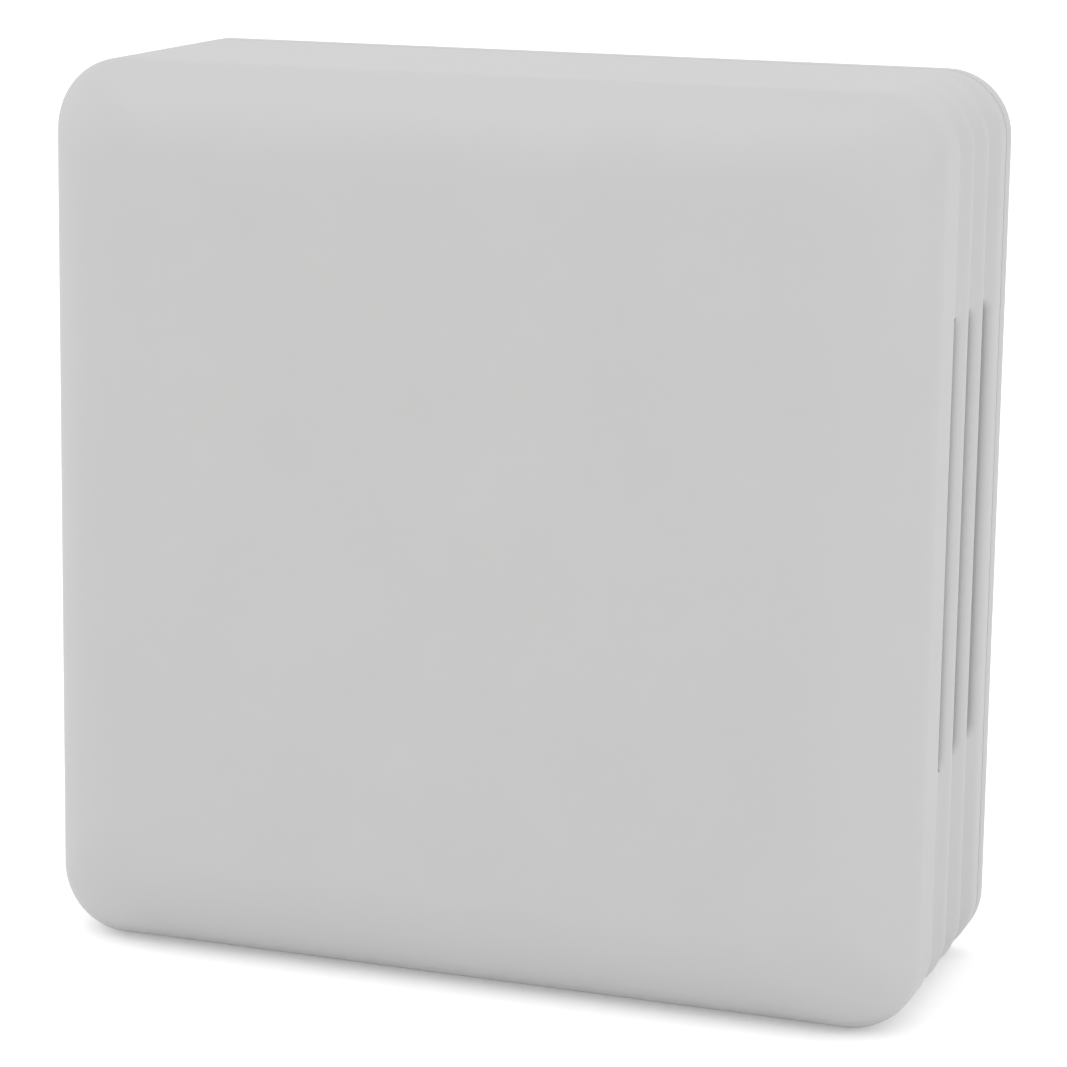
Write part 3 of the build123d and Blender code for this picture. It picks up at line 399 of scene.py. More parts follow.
def routed(start, end):
    """A track's path: straight along the longer way, then slanted at 45 degrees to its end."""
    across, along = end[0] - start[0], end[1] - start[1]
    slant = min(abs(across), abs(along))
    bend = (end[0] - math.copysign(slant, across), end[1] - math.copysign(slant, along))
    return [start, bend, end] if slant > 0.05 else [start, end]


mask = masked_laminate("Solder mask on the ground area", (0.024, 0.18, 0.09), "Y")
bare_gap = masked_laminate("Solder mask on bare laminate", (0.012, 0.10, 0.05), "Y")
covered_copper = masked_laminate("Solder mask on tracks", (0.045, 0.27, 0.13), "Y")
dress(nodes["circuit_board"], mask)

terminals = [(terminal_pitch * (k - 2.5), terminal_z) for k in range(6)]
pin_rises = [pin_pitch * (k - 1.5) for k in range(4)]
controller_offsets = [controller_pitch * (k - 3.5) for k in range(8)]
amplifier_offsets = [amplifier_pitch * (k - 1.5) for k in range(4)]
left_leads, right_leads = (
    [(controller_x + side * controller_tip, controller_z + off) for off in controller_offsets]
    for side in ends
)
lower_leads = [(controller_x + off, controller_z - controller_tip) for off in controller_offsets]
amplifier_ins, amplifier_outs = (
    [
        [(amplifier_x + side * amplifier_tip, z + off) for off in amplifier_offsets]
        for z in amplifier_zs
    ]
    for side in ends
)
diode_outs, diode_ins = (
    [(diode_pitch * k, diode_z + side * diode_reach) for k in (-1, 0, 1)] for side in ends
)
switch_column = [-11.5 - 2.2 * k for k in range(5)]
sensor_column = [-11.0 - 2.2 * k for k in range(4)]
power_tracks = [
    routed(terminals[0], (coil_x + coil_reach, coil_z)),
    routed((coil_x - coil_reach, coil_z), (-24.4, 1.2)),
    routed(terminals[1], diode_ins[0]),
    routed(terminals[2], diode_ins[1]),
    routed(terminals[4], diode_ins[2]),
    [diode_outs[0], diode_outs[2]],
    routed(diode_outs[2], (regulator_x - regulator_pitch, -8.2)),
    routed((regulator_x, -8.2), (can_x, -10.6)),
    routed((regulator_x, -1.8), (23.8, 0.6)),
    routed((can_x, -16.6), (can_x, -18.4)),
    routed((can_x, -24.8), (12.8, -29.5)),
]
edge_tracks = [
    routed((switch_x - switch_reach, switch_z - pin_rises[k]), (-30.5, -10.2 - 2.9 * k))
    for k in range(4)
]
signal_tracks = [routed(left_leads[7 - 2 * k], (-11.8, switch_column[k])) for k in range(4)]
signal_tracks += [[(-13.4, z), (-16.2, z)] for z in switch_column[:4]]
signal_tracks += [
    routed((-17.8, switch_column[k]), (switch_x + switch_reach, switch_z - pin_rises[k]))
    for k in range(4)
]
signal_tracks += [routed((-17.8, switch_column[4]), (-21.0, -23.4))] + edge_tracks
signal_tracks += [
    routed(right_leads[7], amplifier_ins[0][3]),
    routed(right_leads[6], amplifier_ins[0][2]),
    routed(right_leads[4], amplifier_ins[0][0]),
    routed(right_leads[2], amplifier_ins[1][3]),
    routed(right_leads[0], amplifier_ins[1][1]),
    routed(amplifier_outs[0][2], (12.9, -14.6)),
    routed(amplifier_outs[0][0], (12.3, -17.2)),
    routed(amplifier_outs[1][3], (11.6, -18.9)),
    routed(amplifier_outs[1][1], (13.2, -24.2)),
    routed(lower_leads[0], (trimmer_x + trimmer_pitch, trimmer_z)),
    routed(lower_leads[1], (-7.6, -28.6)),
    routed(lower_leads[3], (-3.1, -22.6)),
    routed((-1.4, -22.6), (-1.7, lamp_z)),
    routed(lower_leads[5], (1.4, -22.6)),
    routed((3.0, -22.6), (button_x - button_reach, button_z + button_rise)),
    routed(lower_leads[7], (7.2, -22.2)),
    routed((1.7, lamp_z), (button_x - button_reach, button_z - button_rise)),
]
sensor_vias = [(22.3, -9.6), (22.0, -14.8), (22.6, -19.2), (23.2, -21.4)]
signal_tracks += [
    routed((26.4, sensor_column[k]), (header_x, header_z - pin_rises[k])) for k in range(4)
]
signal_tracks += [routed((24.6, sensor_column[k]), sensor_vias[k]) for k in range(4)]
signal_tracks += [
    routed(thermistor_pins[0], (27.6, -20.8)),
    routed(thermistor_pins[1], (28.4, -29.6)),
    routed(terminals[3], (3.1, -6.6)),
    routed(terminals[5], (12.6, -6.2)),
]
via_places = [track[-1] for track in edge_tracks]
via_places += [
    (3.1, -6.6), (12.6, -6.2), (-7.6, -28.6), (7.2, -22.2), (13.2, -24.2), (12.9, -14.6),
    (12.3, -17.2), (11.6, -18.9), *sensor_vias,
    (27.6, -20.8), (28.4, -29.6), (-24.4, 1.2), (23.8, 0.6), (12.8, -29.5), (-21.0, -23.4),
    (-2.5, -6.6), (-30.5, -7.0), (30.5, -7.5), (-30.0, -29.5), (30.5, 7.2), (-30.5, 7.2),
]
power_sizes = {"Width": 1.1, "Thickness": 0.07}
power_gap = {"Width": 1.7, "Thickness": 0.04}
signal_sizes = {"Width": 0.3, "Thickness": 0.07}
signal_gap = {"Width": 0.8, "Thickness": 0.04}
via_gap = ring(0.14, 0.66, 0.64, 0.02, 0.02)
via_sizes = ring(0.14, 0.42, 0.34, 0.05, 0.02)
power_lines, signal_lines = rows_of(power_tracks), rows_of(signal_tracks)
via_points = (via_places, [])
for name, points_and_edges, tree, sizes, paint in (
    ("power_gaps", power_lines, strips, power_gap, bare_gap),
    ("signal_gaps", signal_lines, strips, signal_gap, bare_gap),
    ("via_gaps", via_points, rings, via_gap, bare_gap),
    ("power_tracks", power_lines, strips, power_sizes, covered_copper),
    ("signal_tracks", signal_lines, strips, signal_sizes, covered_copper),
    ("vias", via_points, rings, via_sizes, covered_copper),
):
    laid(name, *points_and_edges, on_front, tree, sizes, paint, "board_laminate")

solder = metal(
    "Solder", tin_colour,
    roughness=0.3, brushed=(900.0, 900.0, 900.0), unevenness=0.08, relief=0.01 * MM,
)
small_pins = [
    (switch_x + side * switch_reach, switch_z + rise) for side in ends for rise in pin_rises
]
small_pins += [(trimmer_x + trimmer_pitch * k, trimmer_z) for k in (-1, 0, 1)]
small_pins += [
    (button_x + side * button_reach, button_z + end * button_rise) for side in ends for end in ends
]
small_pins += [(header_x, header_z + rise) for rise in pin_rises] + thermistor_pins
small_joint = ring(0.3, 0.9, 0.46, 0.3, 0.8)
large_joint = ring(0.5, 1.35, 0.8, 0.35, 0.9)
low_joint = ring(0.22, 0.75, 0.4, 0.12, 0.35)
for name, places, sizes in (
    ("solder_joints", small_pins, small_joint),
    ("terminal_joints", terminals, large_joint),
):
    laid(name, [(x, -z) for x, z in places], [], on_back, rings, sizes, solder, "tinned_metal")
laid("thermistor_joints", thermistor_pins, [], on_front, rings, low_joint, solder, "tinned_metal")


def pads(name, places, width):
    """Tinned pads of that width on the front: centre, length, and whether they lie upright."""
    paths = []
    for x, z, length, upright in places:
        half_x, half_z = (0.0, length / 2) if upright else (length / 2, 0.0)
        paths.append([(x - half_x, z - half_z), (x + half_x, z + half_z)])
    sizes = {"Width": width, "Thickness": 0.1}
    laid(name, *rows_of(paths), on_front, strips, sizes, solder, "tinned_metal")


resistor_places = [(-17.0, z) for z in switch_column] + [(-12.6, z) for z in switch_column[:4]]
resistor_places += [(25.5, z) for z in sensor_column[:2]] + [(2.2, -22.6), (-2.2, -22.6)]
capacitor_places = [(1.6, -10.6), (1.6, -12.8), (1.6, -17.2), (12.0, -7.6)]
capacitor_places += [(25.5, z) for z in sensor_column[2:]]
chip_places = resistor_places + capacitor_places
controller_pads = [
    (controller_x + side * 4.4, controller_z + off, 1.3, False)
    for side in ends for off in controller_offsets
]
controller_pads += [
    (controller_x + off, controller_z + side * 4.4, 1.3, True)
    for side in ends for off in controller_offsets
]
amplifier_pads = [
    (amplifier_x + side * 2.75, z + off, 1.4, False)
    for z in amplifier_zs for side in ends for off in amplifier_offsets
]
regulator_pads = [(regulator_x + regulator_pitch * k, -8.3, 1.6, True) for k in (-1, 0, 1)]
chip_pads = [(x + side * 0.95, z, 0.8, False) for x, z in chip_places for side in ends]
diode_pads = [
    (diode_pitch * k, diode_z + side * 2.6, 1.1, True) for k in (-1, 0, 1) for side in ends
]
wide_pads = [(can_x, z + side * 3.5, 1.6, True) for z in can_zs for side in ends]
pads("controller_pads", controller_pads, width=0.46)
pads("amplifier_pads", amplifier_pads, width=0.62)
pads("regulator_pads", regulator_pads, width=1.0)
pads("tab_pad", [(regulator_x, -1.7, 1.6, True)], width=3.4)
pads("chip_pads", chip_pads, width=1.4)
pads("diode_pads", diode_pads, width=1.8)
pads("wide_pads", wide_pads, width=1.7)
pads("coil_pads", [(coil_x + side * 2.9, coil_z, 1.4, False) for side in ends], width=2.6)
pads("lamp_pads", [(side * 1.8, lamp_z, 0.9, False) for side in ends], width=2.0)


def outline(x, z, half_width, half_height):
    """Four ink lines round a piece's middle, that far from it."""
    left, right, low, high = x - half_width, x + half_width, z - half_height, z + half_height
    corners = [(left, low), (right, low), (right, high), (left, high)]
    return [[corners[k], corners[(k + 1) % 4]] for k in range(4)]


boxes = [
    (controller_x, controller_z, 3.75, 3.75),
    (0.0, 2.7, 15.6, 5.1),
    (switch_x, switch_z, 3.5, 6.0),
    (trimmer_x, trimmer_z, 3.6, 3.6),
    (button_x, button_z, 3.3, 3.3),
    (regulator_x, -5.0, 3.6, 2.1),
    (coil_x, coil_z, 3.3, 3.3),
    (29.3, header_z, 2.6, 6.4),
    (0.0, lamp_z, 2.6, 1.7),
]
boxes += [(can_x, z, 3.75, 3.75) for z in can_zs]
boxes += [(amplifier_x, z, 2.2, 2.7) for z in amplifier_zs]
boxes += [(diode_pitch * k, diode_z, 1.7, 2.4) for k in (-1, 0, 1)]
ink_lines = [line for box in boxes for line in outline(*box)]
for x, z in chip_places:
    ink_lines += [[(x - 0.5, z + end * 0.85), (x + 0.5, z + end * 0.85)] for end in ends]
white_ink = plastic(
    "White ink", ink_colour, roughness=0.6, grain=0.08 * MM, relief=0.006 * MM, mottle=0.08
)
ink_sizes = {"Width": 0.14, "Thickness": 0.11}
ring_ink = ring(2.5, 2.65, 2.65, 0.05, 0.05)
screw_places = [(-20.0, 5.0), (20.0, 5.0), (-24.0, -27.0), (24.0, -27.0)]
laid("ink_outlines", *rows_of(ink_lines), on_front, strips, ink_sizes, white_ink, "pale_plastic")
laid("ink_rings", screw_places, [], on_front, rings, ring_ink, white_ink, "pale_plastic")


# Board screws. Four short slotted screws of zinc-plated steel, cut into the base plate's posts,
# hold the circuit board down.
softened("board_screws", zinc, edge=0.06 * MM)


# Terminal block. Six poles in a green polyamide housing: a tinned brass cage in each well is drawn
# up by its slotted screw and clamps the wire against a fixed contact, whose leg is soldered to the
# board.
terminal_green = plastic(
    "Terminal block, green polyamide", (0.06, 0.22, 0.10),
    roughness=0.44, grain=0.14 * MM, relief=0.008 * MM, mottle=0.05,
)
tin = metal("Tin plate", tin_colour, roughness=0.34, brushed=(1800.0, 600.0, 1800.0))
softened("terminal_housing", terminal_green, edge=0.1 * MM)
softened("terminal_contacts", tin, edge=0.05 * MM)
for pole in range(1, 7):
    softened(f"terminal_cage_{pole}", tin, edge=0.06 * MM)
    softened(f"terminal_screw_{pole}", zinc, edge=0.08 * MM)


# Range switch. Four slide levers in a blue thermoplastic body, with two rows of tinned contact legs
# through the board.
switch_blue = plastic(
    "Switch and trimmer body, blue", (0.03, 0.12, 0.42),
    roughness=0.38, grain=0.1 * MM, relief=0.005 * MM, mottle=0.05,
)
lever_white = plastic(
    "Off-white nylon", (0.80, 0.79, 0.76),
    roughness=0.45, grain=0.1 * MM, relief=0.005 * MM, mottle=0.03,
)
softened("switch_body", switch_blue, edge=0.1 * MM)
dress(nodes["switch_contacts"], tin)
for lever in range(1, 5):
    softened(f"switch_lever_{lever}", lever_white, edge=0.08 * MM)


# Offset trimmer. A square blue body holds an off-white rotor with a screwdriver slot, on three
# tinned legs through the board.
softened("trimmer_body", switch_blue, edge=0.12 * MM)
softened("trimmer_rotor", lever_white, edge=0.08 * MM)
dress(nodes["trimmer_pins"], tin)


# Service button. A black body under a thin pressed cover plate, with a black plunger and four legs
# through the board.
black_moulding = plastic(
    "Black moulding compound", (0.022, 0.022, 0.024),
    roughness=0.5, grain=0.07 * MM, relief=0.006 * MM, mottle=0.15,
)
softened("button_body", black_moulding, edge=0.1 * MM)
softened("button_cover", tin, edge=0.06 * MM)
softened("button_plunger", black_moulding, edge=0.12 * MM)
dress(nodes["button_pins"], tin)


# Flat packages. The controller, two amplifiers and the voltage regulator are moulded in black
# epoxy, with tinned leads bent to the pads. A ring marks the first lead of all but the regulator.
softened("microcontroller", black_moulding, edge=0.12 * MM)
softened("amplifiers", black_moulding, edge=0.15 * MM)
softened("voltage_regulator", black_moulding, edge=0.12 * MM)
for leads in ("microcontroller_leads", "amplifier_leads", "regulator_leads"):
    dress(nodes[leads], tin)
first_lead = ring(0.25, 0.42, 0.38, 0.03, 0.03)
for name, places, package_top in (
    ("controller_mark", [(controller_x - 2.5, controller_z + 2.5)], 10.95),
    ("amplifier_marks", [(amplifier_x - 1.2, z + 1.7) for z in amplifier_zs], 11.25),
):
    on_package = facing_room(package_top)
    laid(name, places, [], on_package, rings, first_lead, black_moulding, "black_plastic")


# Capacitors. Two drawn aluminium cans on black chamfered bases, each with a black segment printed
# on its top over the negative leg.
black_ink = (0.02, 0.02, 0.02)


def printed(material, lowest, highest, ink):
    """Ink over the material's own colour between two corners of a box, in millimetres."""
    tree = material.node_tree
    shader = tree.nodes["Principled BSDF"]
    place = tree.nodes.new("ShaderNodeTexCoord")
    split = tree.nodes.new("ShaderNodeSeparateXYZ")
    tree.links.new(place.outputs["Object"], split.inputs[0])
    inside = 1.0
    for axis, low, high in zip("XYZ", lowest, highest):
        above = calc(tree, "GREATER_THAN", split.outputs[axis], low * MM)
        below = calc(tree, "LESS_THAN", split.outputs[axis], high * MM)
        inside = calc(tree, "MULTIPLY", calc(tree, "MULTIPLY", above, below), inside)
    mix = tree.nodes.new("ShaderNodeMix")
    mix.data_type = "RGBA"
    mix.inputs["B"].default_value = (*ink, 1.0)
    tree.links.new(shader.inputs["Base Color"].links[0].from_socket, mix.inputs["A"])
    tree.links.new(inside, mix.inputs["Factor"])
    tree.links.new(mix.outputs["Result"], shader.inputs["Base Color"])
    return material


can_metal = metal(
    "Drawn aluminium", (0.75, 0.76, 0.78), roughness=0.34, brushed=(300.0, 4000.0, 300.0)
)
printed(can_metal, (12.0, -17.6, -26.0), (15.7, -17.2, -9.0), black_ink)
softened("capacitor_cans", can_metal, edge=0.05 * MM)
softened("capacitor_bases", black_moulding, edge=0.1 * MM)


# Rectifier diodes. Three black moulded bodies with a printed band over the cathode, and tinned tabs
# folded under both ends.
diode_black = plastic(
    "Diode moulding", (0.022, 0.022, 0.024),
    roughness=0.48, grain=0.07 * MM, relief=0.006 * MM, mottle=0.15,
)
printed(diode_black, (-9.0, -12.0, -5.5), (9.0, -11.5, -4.9), ink_colour)
softened("rectifier_diodes", diode_black, edge=0.1 * MM)
dress(nodes["diode_tabs"], tin)


# Power inductor. A sintered dark grey ferrite drum in a square shield, glued to the board and
# soldered on both sides.
ferrite = plastic(
    "Sintered ferrite", (0.06, 0.06, 0.065),
    roughness=0.58, grain=0.12 * MM, relief=0.02 * MM, mottle=0.25,
)
softened("power_inductor", ferrite, edge=0.15 * MM)


# Status lamp. A clear resin dome over the chip, moulded on an off-white body whose two ends are
# soldered to the board beside its lower edge.
softened("status_led", lever_white, edge=0.08 * MM)
resin = plastic(
    "Clear resin", (0.72, 0.74, 0.66), roughness=0.16, grain=0.2 * MM, relief=0.002 * MM
)
resin.node_tree.nodes["Principled BSDF"].inputs["Transmission Weight"].default_value = 0.5
dress(nodes["led_lens"], resin)


# Chip resistors and capacitors. Alumina chips with a black glaze on top and brown ceramic blocks,
# both with tinned ends, soldered in columns.
glaze = plastic(
    "Black glaze on alumina", (0.03, 0.03, 0.035),
    roughness=0.22, grain=0.2 * MM, relief=0.004 * MM, mottle=0.2,
)
ceramic = plastic(
    "Capacitor ceramic", (0.42, 0.30, 0.18),
    roughness=0.5, grain=0.06 * MM, relief=0.008 * MM, mottle=0.12,
)
softened("chip_resistors", glaze, edge=0.04 * MM)
softened("chip_capacitors", ceramic, edge=0.08 * MM)
softened("chip_ends", solder, edge=0.06 * MM)


# Sensing board. A small upright board on a black pin header carries the humidity element with its
# gold pads, under an off-white cap whose hole is closed by a vapour-open membrane.
upright_mask = masked_laminate("Solder mask on the sensing board", (0.02, 0.16, 0.08), "X")
dress(nodes["sensor_board"], upright_mask)
gold = metal(
    "Gold flash", (0.83, 0.64, 0.28),
    roughness=0.26, brushed=(1500.0, 500.0, 1500.0), unevenness=0.06,
)
dress(nodes["sensor_header_pins"], gold)
dress(nodes["element_pads"], gold)
softened("sensor_header", black_moulding, edge=0.1 * MM)
softened("humidity_element", black_moulding, edge=0.06 * MM)
softened("filter_cap", lever_white, edge=0.15 * MM)
membrane = plastic(
    "Stretched membrane", (0.86, 0.86, 0.84),
    roughness=0.7, grain=0.05 * MM, relief=0.02 * MM, mottle=0.04,
)
softened("filter_membrane", membrane, edge=0.03 * MM)


# Thermistor. A black epoxy bead on two bare tinned wires, standing off the board beside the sensing
# board.
epoxy = plastic(
    "Dipped epoxy", (0.03, 0.03, 0.03),
    roughness=0.2, grain=0.5 * MM, relief=0.02 * MM, mottle=0.2,
)
dress(nodes["thermistor"], epoxy)
dress(nodes["thermistor_leads"], tin)


# Cover. A cap moulded from the same light grey ABS, soft at the front, with three grooves down each
# side and a vent slot in each groove. It snaps over the base plate, and the lock screw holds it.
cover_sizes = {
    "Width": 86.0 * MM,
    "Height": 86.0 * MM,
    "Corner radius": 6.2 * MM,
    "Front inset": 10.0 * MM,
    "Front rounding": 8.0 * MM,
    "Groove start": 4.0 * MM,
    "Groove pitch": 5.9 * MM,
    "Groove depth": 1.0 * MM,
    "Groove fading": 0.2 * MM,
    "Groove count": 3.0,
    "Wall thickness": 2.4 * MM,
}
lip = ((2.15 * MM, 0.12 * MM), (2.18 * MM, 0.04 * MM), (2.3 * MM, 0.0))
last_crest = 23.5 * MM
side_end = 25.5 * MM
slot_half = 1.25 * MM
slot_narrowing = 0.3 * MM
slot_shift = 0.5 * MM
slot_end_half = 0.1 * MM
slot_reach = 21.25 * MM
slot_rise = 1.0 * MM
slot_taper = 1.25 * MM
slot_rounding = 0.5 * MM
front_ring = 3.0 * MM
straight = cover_sizes["Height"] / 2 - cover_sizes["Corner radius"]
groove_start = cover_sizes["Groove start"]
groove_pitch = cover_sizes["Groove pitch"]
groove_count = int(cover_sizes["Groove count"])
corner_steps, front_steps = 16, 20
even_steps, taper_steps, plain_steps, level_steps = 10, 8, 5, 10
cover_ceiling = 31.1


def slot_edge(number, height):
    """Half the width of that groove's vent slot that far above its middle: even, then tapered."""
    past = (abs(height) - slot_reach + slot_taper) / slot_taper
    share = min(1.0, max(0.0, past))
    half = slot_half - slot_narrowing * (number - 1)
    return max(slot_end_half, half * math.sqrt(1.0 - share * share))


even_reach = slot_reach - slot_taper
climb = [even_reach * k / even_steps for k in range(even_steps)]
for k in range(taper_steps + 1):
    climb.append(even_reach + slot_taper * math.sin(math.pi / 2 * k / taper_steps))
climb = [-height for height in reversed(climb[1:])] + climb
climb = [slot_rise + height for height in climb]
below = [(climb[0] + straight) * k / plain_steps - straight for k in range(plain_steps)]
above = [straight - (straight - climb[-1]) * k / plain_steps for k in reversed(range(plain_steps))]
climb = below + climb + above
level = [straight * (2 * k / level_steps - 1) for k in range(level_steps + 1)]

# A column of the sheet has its place on the flat core, the way out from there, and its height
# above the middle of the slots where it can meet one.
columns = []
for corner in range(4):
    angle = math.pi / 2 * corner
    out = Vector((math.cos(angle), 0.0, math.sin(angle)))
    onward = Vector((-out.z, 0.0, out.x))
    for along in (climb, level, [-height for height in reversed(climb)], level)[corner]:
        height = None if corner % 2 else out.x * along - slot_rise
        columns.append((out + onward * along / straight, out, height))
    for k in range(1, corner_steps):
        swing = angle + math.pi / 2 * k / corner_steps
        columns.append((out + onward, Vector((math.cos(swing), 0.0, math.sin(swing))), None))

# A row over a groove has its number, its side and the share of the way from the slot to the crest.
# Any other row has its depth, how far it is drawn in, and its turn over the front.
rows = [(depth, drawn_in, 0.0) for depth, drawn_in in lip]
shares = (1.0, 0.85, 0.7, 0.55, 0.42, 0.32, 0.22, 0.13, 0.06, 0.02, 0.0)
for number in range(1, groove_count + 1):
    rows += [(number, -1, share) for share in (shares if number == 1 else shares[1:])]
    rows += [(number, 1, share) for share in reversed(shares)]
rows.append((last_crest, 0.0, 0.0))
rows += [(side_end, 0.0, k / front_steps) for k in range(front_steps + 1)]
rows.append((side_end, front_ring, 1.0))

sheet = bmesh.new()
layers = sheet.verts.layers
core_at, out_at = layers.float_vector.new("core"), layers.float_vector.new("outward")
depth_at, ease_at = layers.float.new("depth"), layers.float.new("ease")
turn_at, inner_at = layers.float.new("turn"), layers.float.new("inner")
skins = []
for inner in (0, 1):
    skin = []
    for row in rows:
        course = []
        for step, (core, out, height) in enumerate(columns):
            if isinstance(row[0], int):
                edge = slot_end_half if height is None else slot_edge(row[0], height)
                open_share = (edge - slot_end_half) / (slot_edge(row[0], 0.0) - slot_end_half)
                brink = groove_start + (row[0] - 0.5) * groove_pitch - slot_shift + row[1] * edge
                crest = groove_start + (row[0] - 0.5 + row[1] / 2) * groove_pitch
                depth = brink + row[2] * (crest - brink)
                left = max(0.0, slot_rounding - abs(depth - brink))
                drop = slot_rounding - math.sqrt(slot_rounding**2 - left**2)
                ease = drop * open_share * (1 - inner)
                turn = 0.0
            else:
                depth, ease, turn = row
                ease = -ease if inner and not turn else ease
            vertex = sheet.verts.new((step * MM, depth + turn * MM, -inner * MM))
            vertex[core_at], vertex[out_at] = core, out
            vertex[depth_at], vertex[ease_at] = depth, ease
            vertex[turn_at], vertex[inner_at] = turn, inner
            course.append(vertex)
        skin.append(course)
    skins.append(skin)

slot_rows = {k for k, row in enumerate(rows) if row[1:] == (-1, 0.0)}
outer, inside = skins
count = len(columns)
for k in range(len(rows) - 1):
    low, high, low_in, high_in = outer[k], outer[k + 1], inside[k], inside[k + 1]
    opened = []
    for step in range(count):
        after = (step + 1) % count
        heights = (columns[step][2], columns[after][2])
        in_reach = None not in heights and max(map(abs, heights)) < slot_reach + 0.01 * MM
        opened.append(k in slot_rows and in_reach)
        if not opened[step]:
            sheet.faces.new((low[step], low[after], high[after], high[step]))
            sheet.faces.new((low_in[after], low_in[step], high_in[step], high_in[after]))
    for step in range(count):
        after = (step + 1) % count
        if opened[step]:
            sheet.faces.new((low[step], low[after], low_in[after], low_in[step]))
            sheet.faces.new((high[after], high[step], high_in[step], high_in[after]))
        if opened[step] != opened[step - 1]:
            wall = (low[step], high[step], high_in[step], low_in[step])
            sheet.faces.new(wall if opened[step - 1] else wall[::-1])
for step in range(count):
    after = (step + 1) % count
    sheet.faces.new((outer[0][after], outer[0][step], inside[0][step], inside[0][after]))
sheet.faces.new(outer[-1])
sheet.faces.new(inside[-1][::-1])
cover_mesh = bpy.data.meshes.new("cover_shell")
sheet.to_mesh(cover_mesh)
sheet.free()
cover = bpy.data.objects.new("cover_shell", cover_mesh)
bpy.context.scene.collection.objects.link(cover)


def stored(tree, name, kind="FLOAT"):
    """The value that each point of the sheet carries under that name."""
    node = tree.nodes.new("GeometryNodeInputNamedAttribute")
    node.data_type = kind
    node.inputs["Name"].default_value = name
    return node.outputs["Attribute"]


shell, given, result = new_tree("Wrap the cover sheet", cover_sizes)
size = given.outputs
core = shell.nodes.new("ShaderNodeSeparateXYZ")
outward = shell.nodes.new("ShaderNodeSeparateXYZ")
shell.links.new(stored(shell, "core", "FLOAT_VECTOR"), core.inputs[0])
shell.links.new(stored(shell, "outward", "FLOAT_VECTOR"), outward.inputs[0])
inner = stored(shell, "inner")
inward = calc(shell, "MULTIPLY", size["Wall thickness"], inner)
angle = calc(shell, "MULTIPLY", stored(shell, "turn"), math.pi / 2)
rounding = calc(shell, "SUBTRACT", size["Front rounding"], inward)
along = stored(shell, "depth")
depth = calc(shell, "MULTIPLY_ADD", calc(shell, "SINE", angle), rounding, along)
inset_left = calc(shell, "SUBTRACT", size["Front inset"], inward)
drawn = calc(shell, "MULTIPLY", calc(shell, "COSINE", angle), inset_left)
drawn = calc(shell, "SUBTRACT", size["Front inset"], drawn)
drawn = calc(shell, "ADD", drawn, stored(shell, "ease"))
past_start = calc(shell, "SUBTRACT", along, size["Groove start"])
grooves = calc(shell, "DIVIDE", past_start, size["Groove pitch"])
grooves = calc(shell, "ADD", grooves, 0.5)
nearest = calc(shell, "ROUND", grooves)
nearest = calc(shell, "MINIMUM", calc(shell, "MAXIMUM", nearest, 1.0), size["Groove count"])
off = calc(shell, "SUBTRACT", grooves, nearest)
off = calc(shell, "MINIMUM", calc(shell, "MAXIMUM", off, -0.5), 0.5)
wave = calc(shell, "COSINE", calc(shell, "MULTIPLY", off, 2 * math.pi))
wave = calc(shell, "MULTIPLY_ADD", wave, 0.5, 0.5)
fading = calc(shell, "MULTIPLY", calc(shell, "SUBTRACT", nearest, 1.0), size["Groove fading"])
dip = calc(shell, "MULTIPLY", wave, calc(shell, "SUBTRACT", size["Groove depth"], fading))
dip = calc(shell, "MULTIPLY", dip, calc(shell, "SUBTRACT", 1.0, inner))
sideways = calc(shell, "ABSOLUTE", outward.outputs["X"])
dip = calc(shell, "MULTIPLY", dip, calc(shell, "POWER", sideways, 2.0))
radius = calc(shell, "SUBTRACT", size["Corner radius"], inward)
kept = calc(shell, "ADD", drawn, radius)
half_width = calc(shell, "DIVIDE", size["Width"], 2.0)
half_height = calc(shell, "DIVIDE", size["Height"], 2.0)
core_width = calc(shell, "SUBTRACT", calc(shell, "SUBTRACT", half_width, kept), dip)
core_height = calc(shell, "SUBTRACT", half_height, kept)
joined = shell.nodes.new("ShaderNodeCombineXYZ")
for axis, core_size in (("X", core_width), ("Z", core_height)):
    rounded = calc(shell, "MULTIPLY", outward.outputs[axis], radius)
    placed = calc(shell, "MULTIPLY_ADD", core.outputs[axis], core_size, rounded)
    shell.links.new(placed, joined.inputs[axis])
shell.links.new(calc(shell, "MULTIPLY", depth, -1.0), joined.inputs["Y"])
wrapped = shell.nodes.new("GeometryNodeSetPosition")
shell.links.new(size["Geometry"], wrapped.inputs["Geometry"])
shell.links.new(joined.outputs["Vector"], wrapped.inputs["Position"])
close_tree(shell, wrapped.outputs["Geometry"], given, result)
grow(cover, shell, cover_sizes, case_finish)

hole_segments, hole_radius, hole_depth = 48, 2.3 * MM, 3.0 * MM
hole_middle = Matrix.Translation((0.0, -8.0 * MM, -42.0 * MM))
lock_hole = bmesh.new()
bmesh.ops.create_cone(
    lock_hole,
    cap_ends=True,
    segments=hole_segments,
    radius1=hole_radius,
    radius2=hole_radius,
    depth=hole_depth,
    matrix=hole_middle @ Matrix.Rotation(math.pi / hole_segments, 4, "Z"),
)
catch_x, catch_depth, catch_z = 22.0 * MM, 9.8 * MM, 40.6 * MM
catch_size = Matrix.Diagonal((9.0 * MM, 3.4 * MM, 1.6 * MM, 1.0))
catches = bmesh.new()
for side_x in ends:
    for side_z in ends:
        place = Matrix.Translation((side_x * catch_x, -catch_depth, side_z * catch_z))
        bmesh.ops.create_cube(catches, size=1.0, matrix=place @ catch_size)
cutters = []
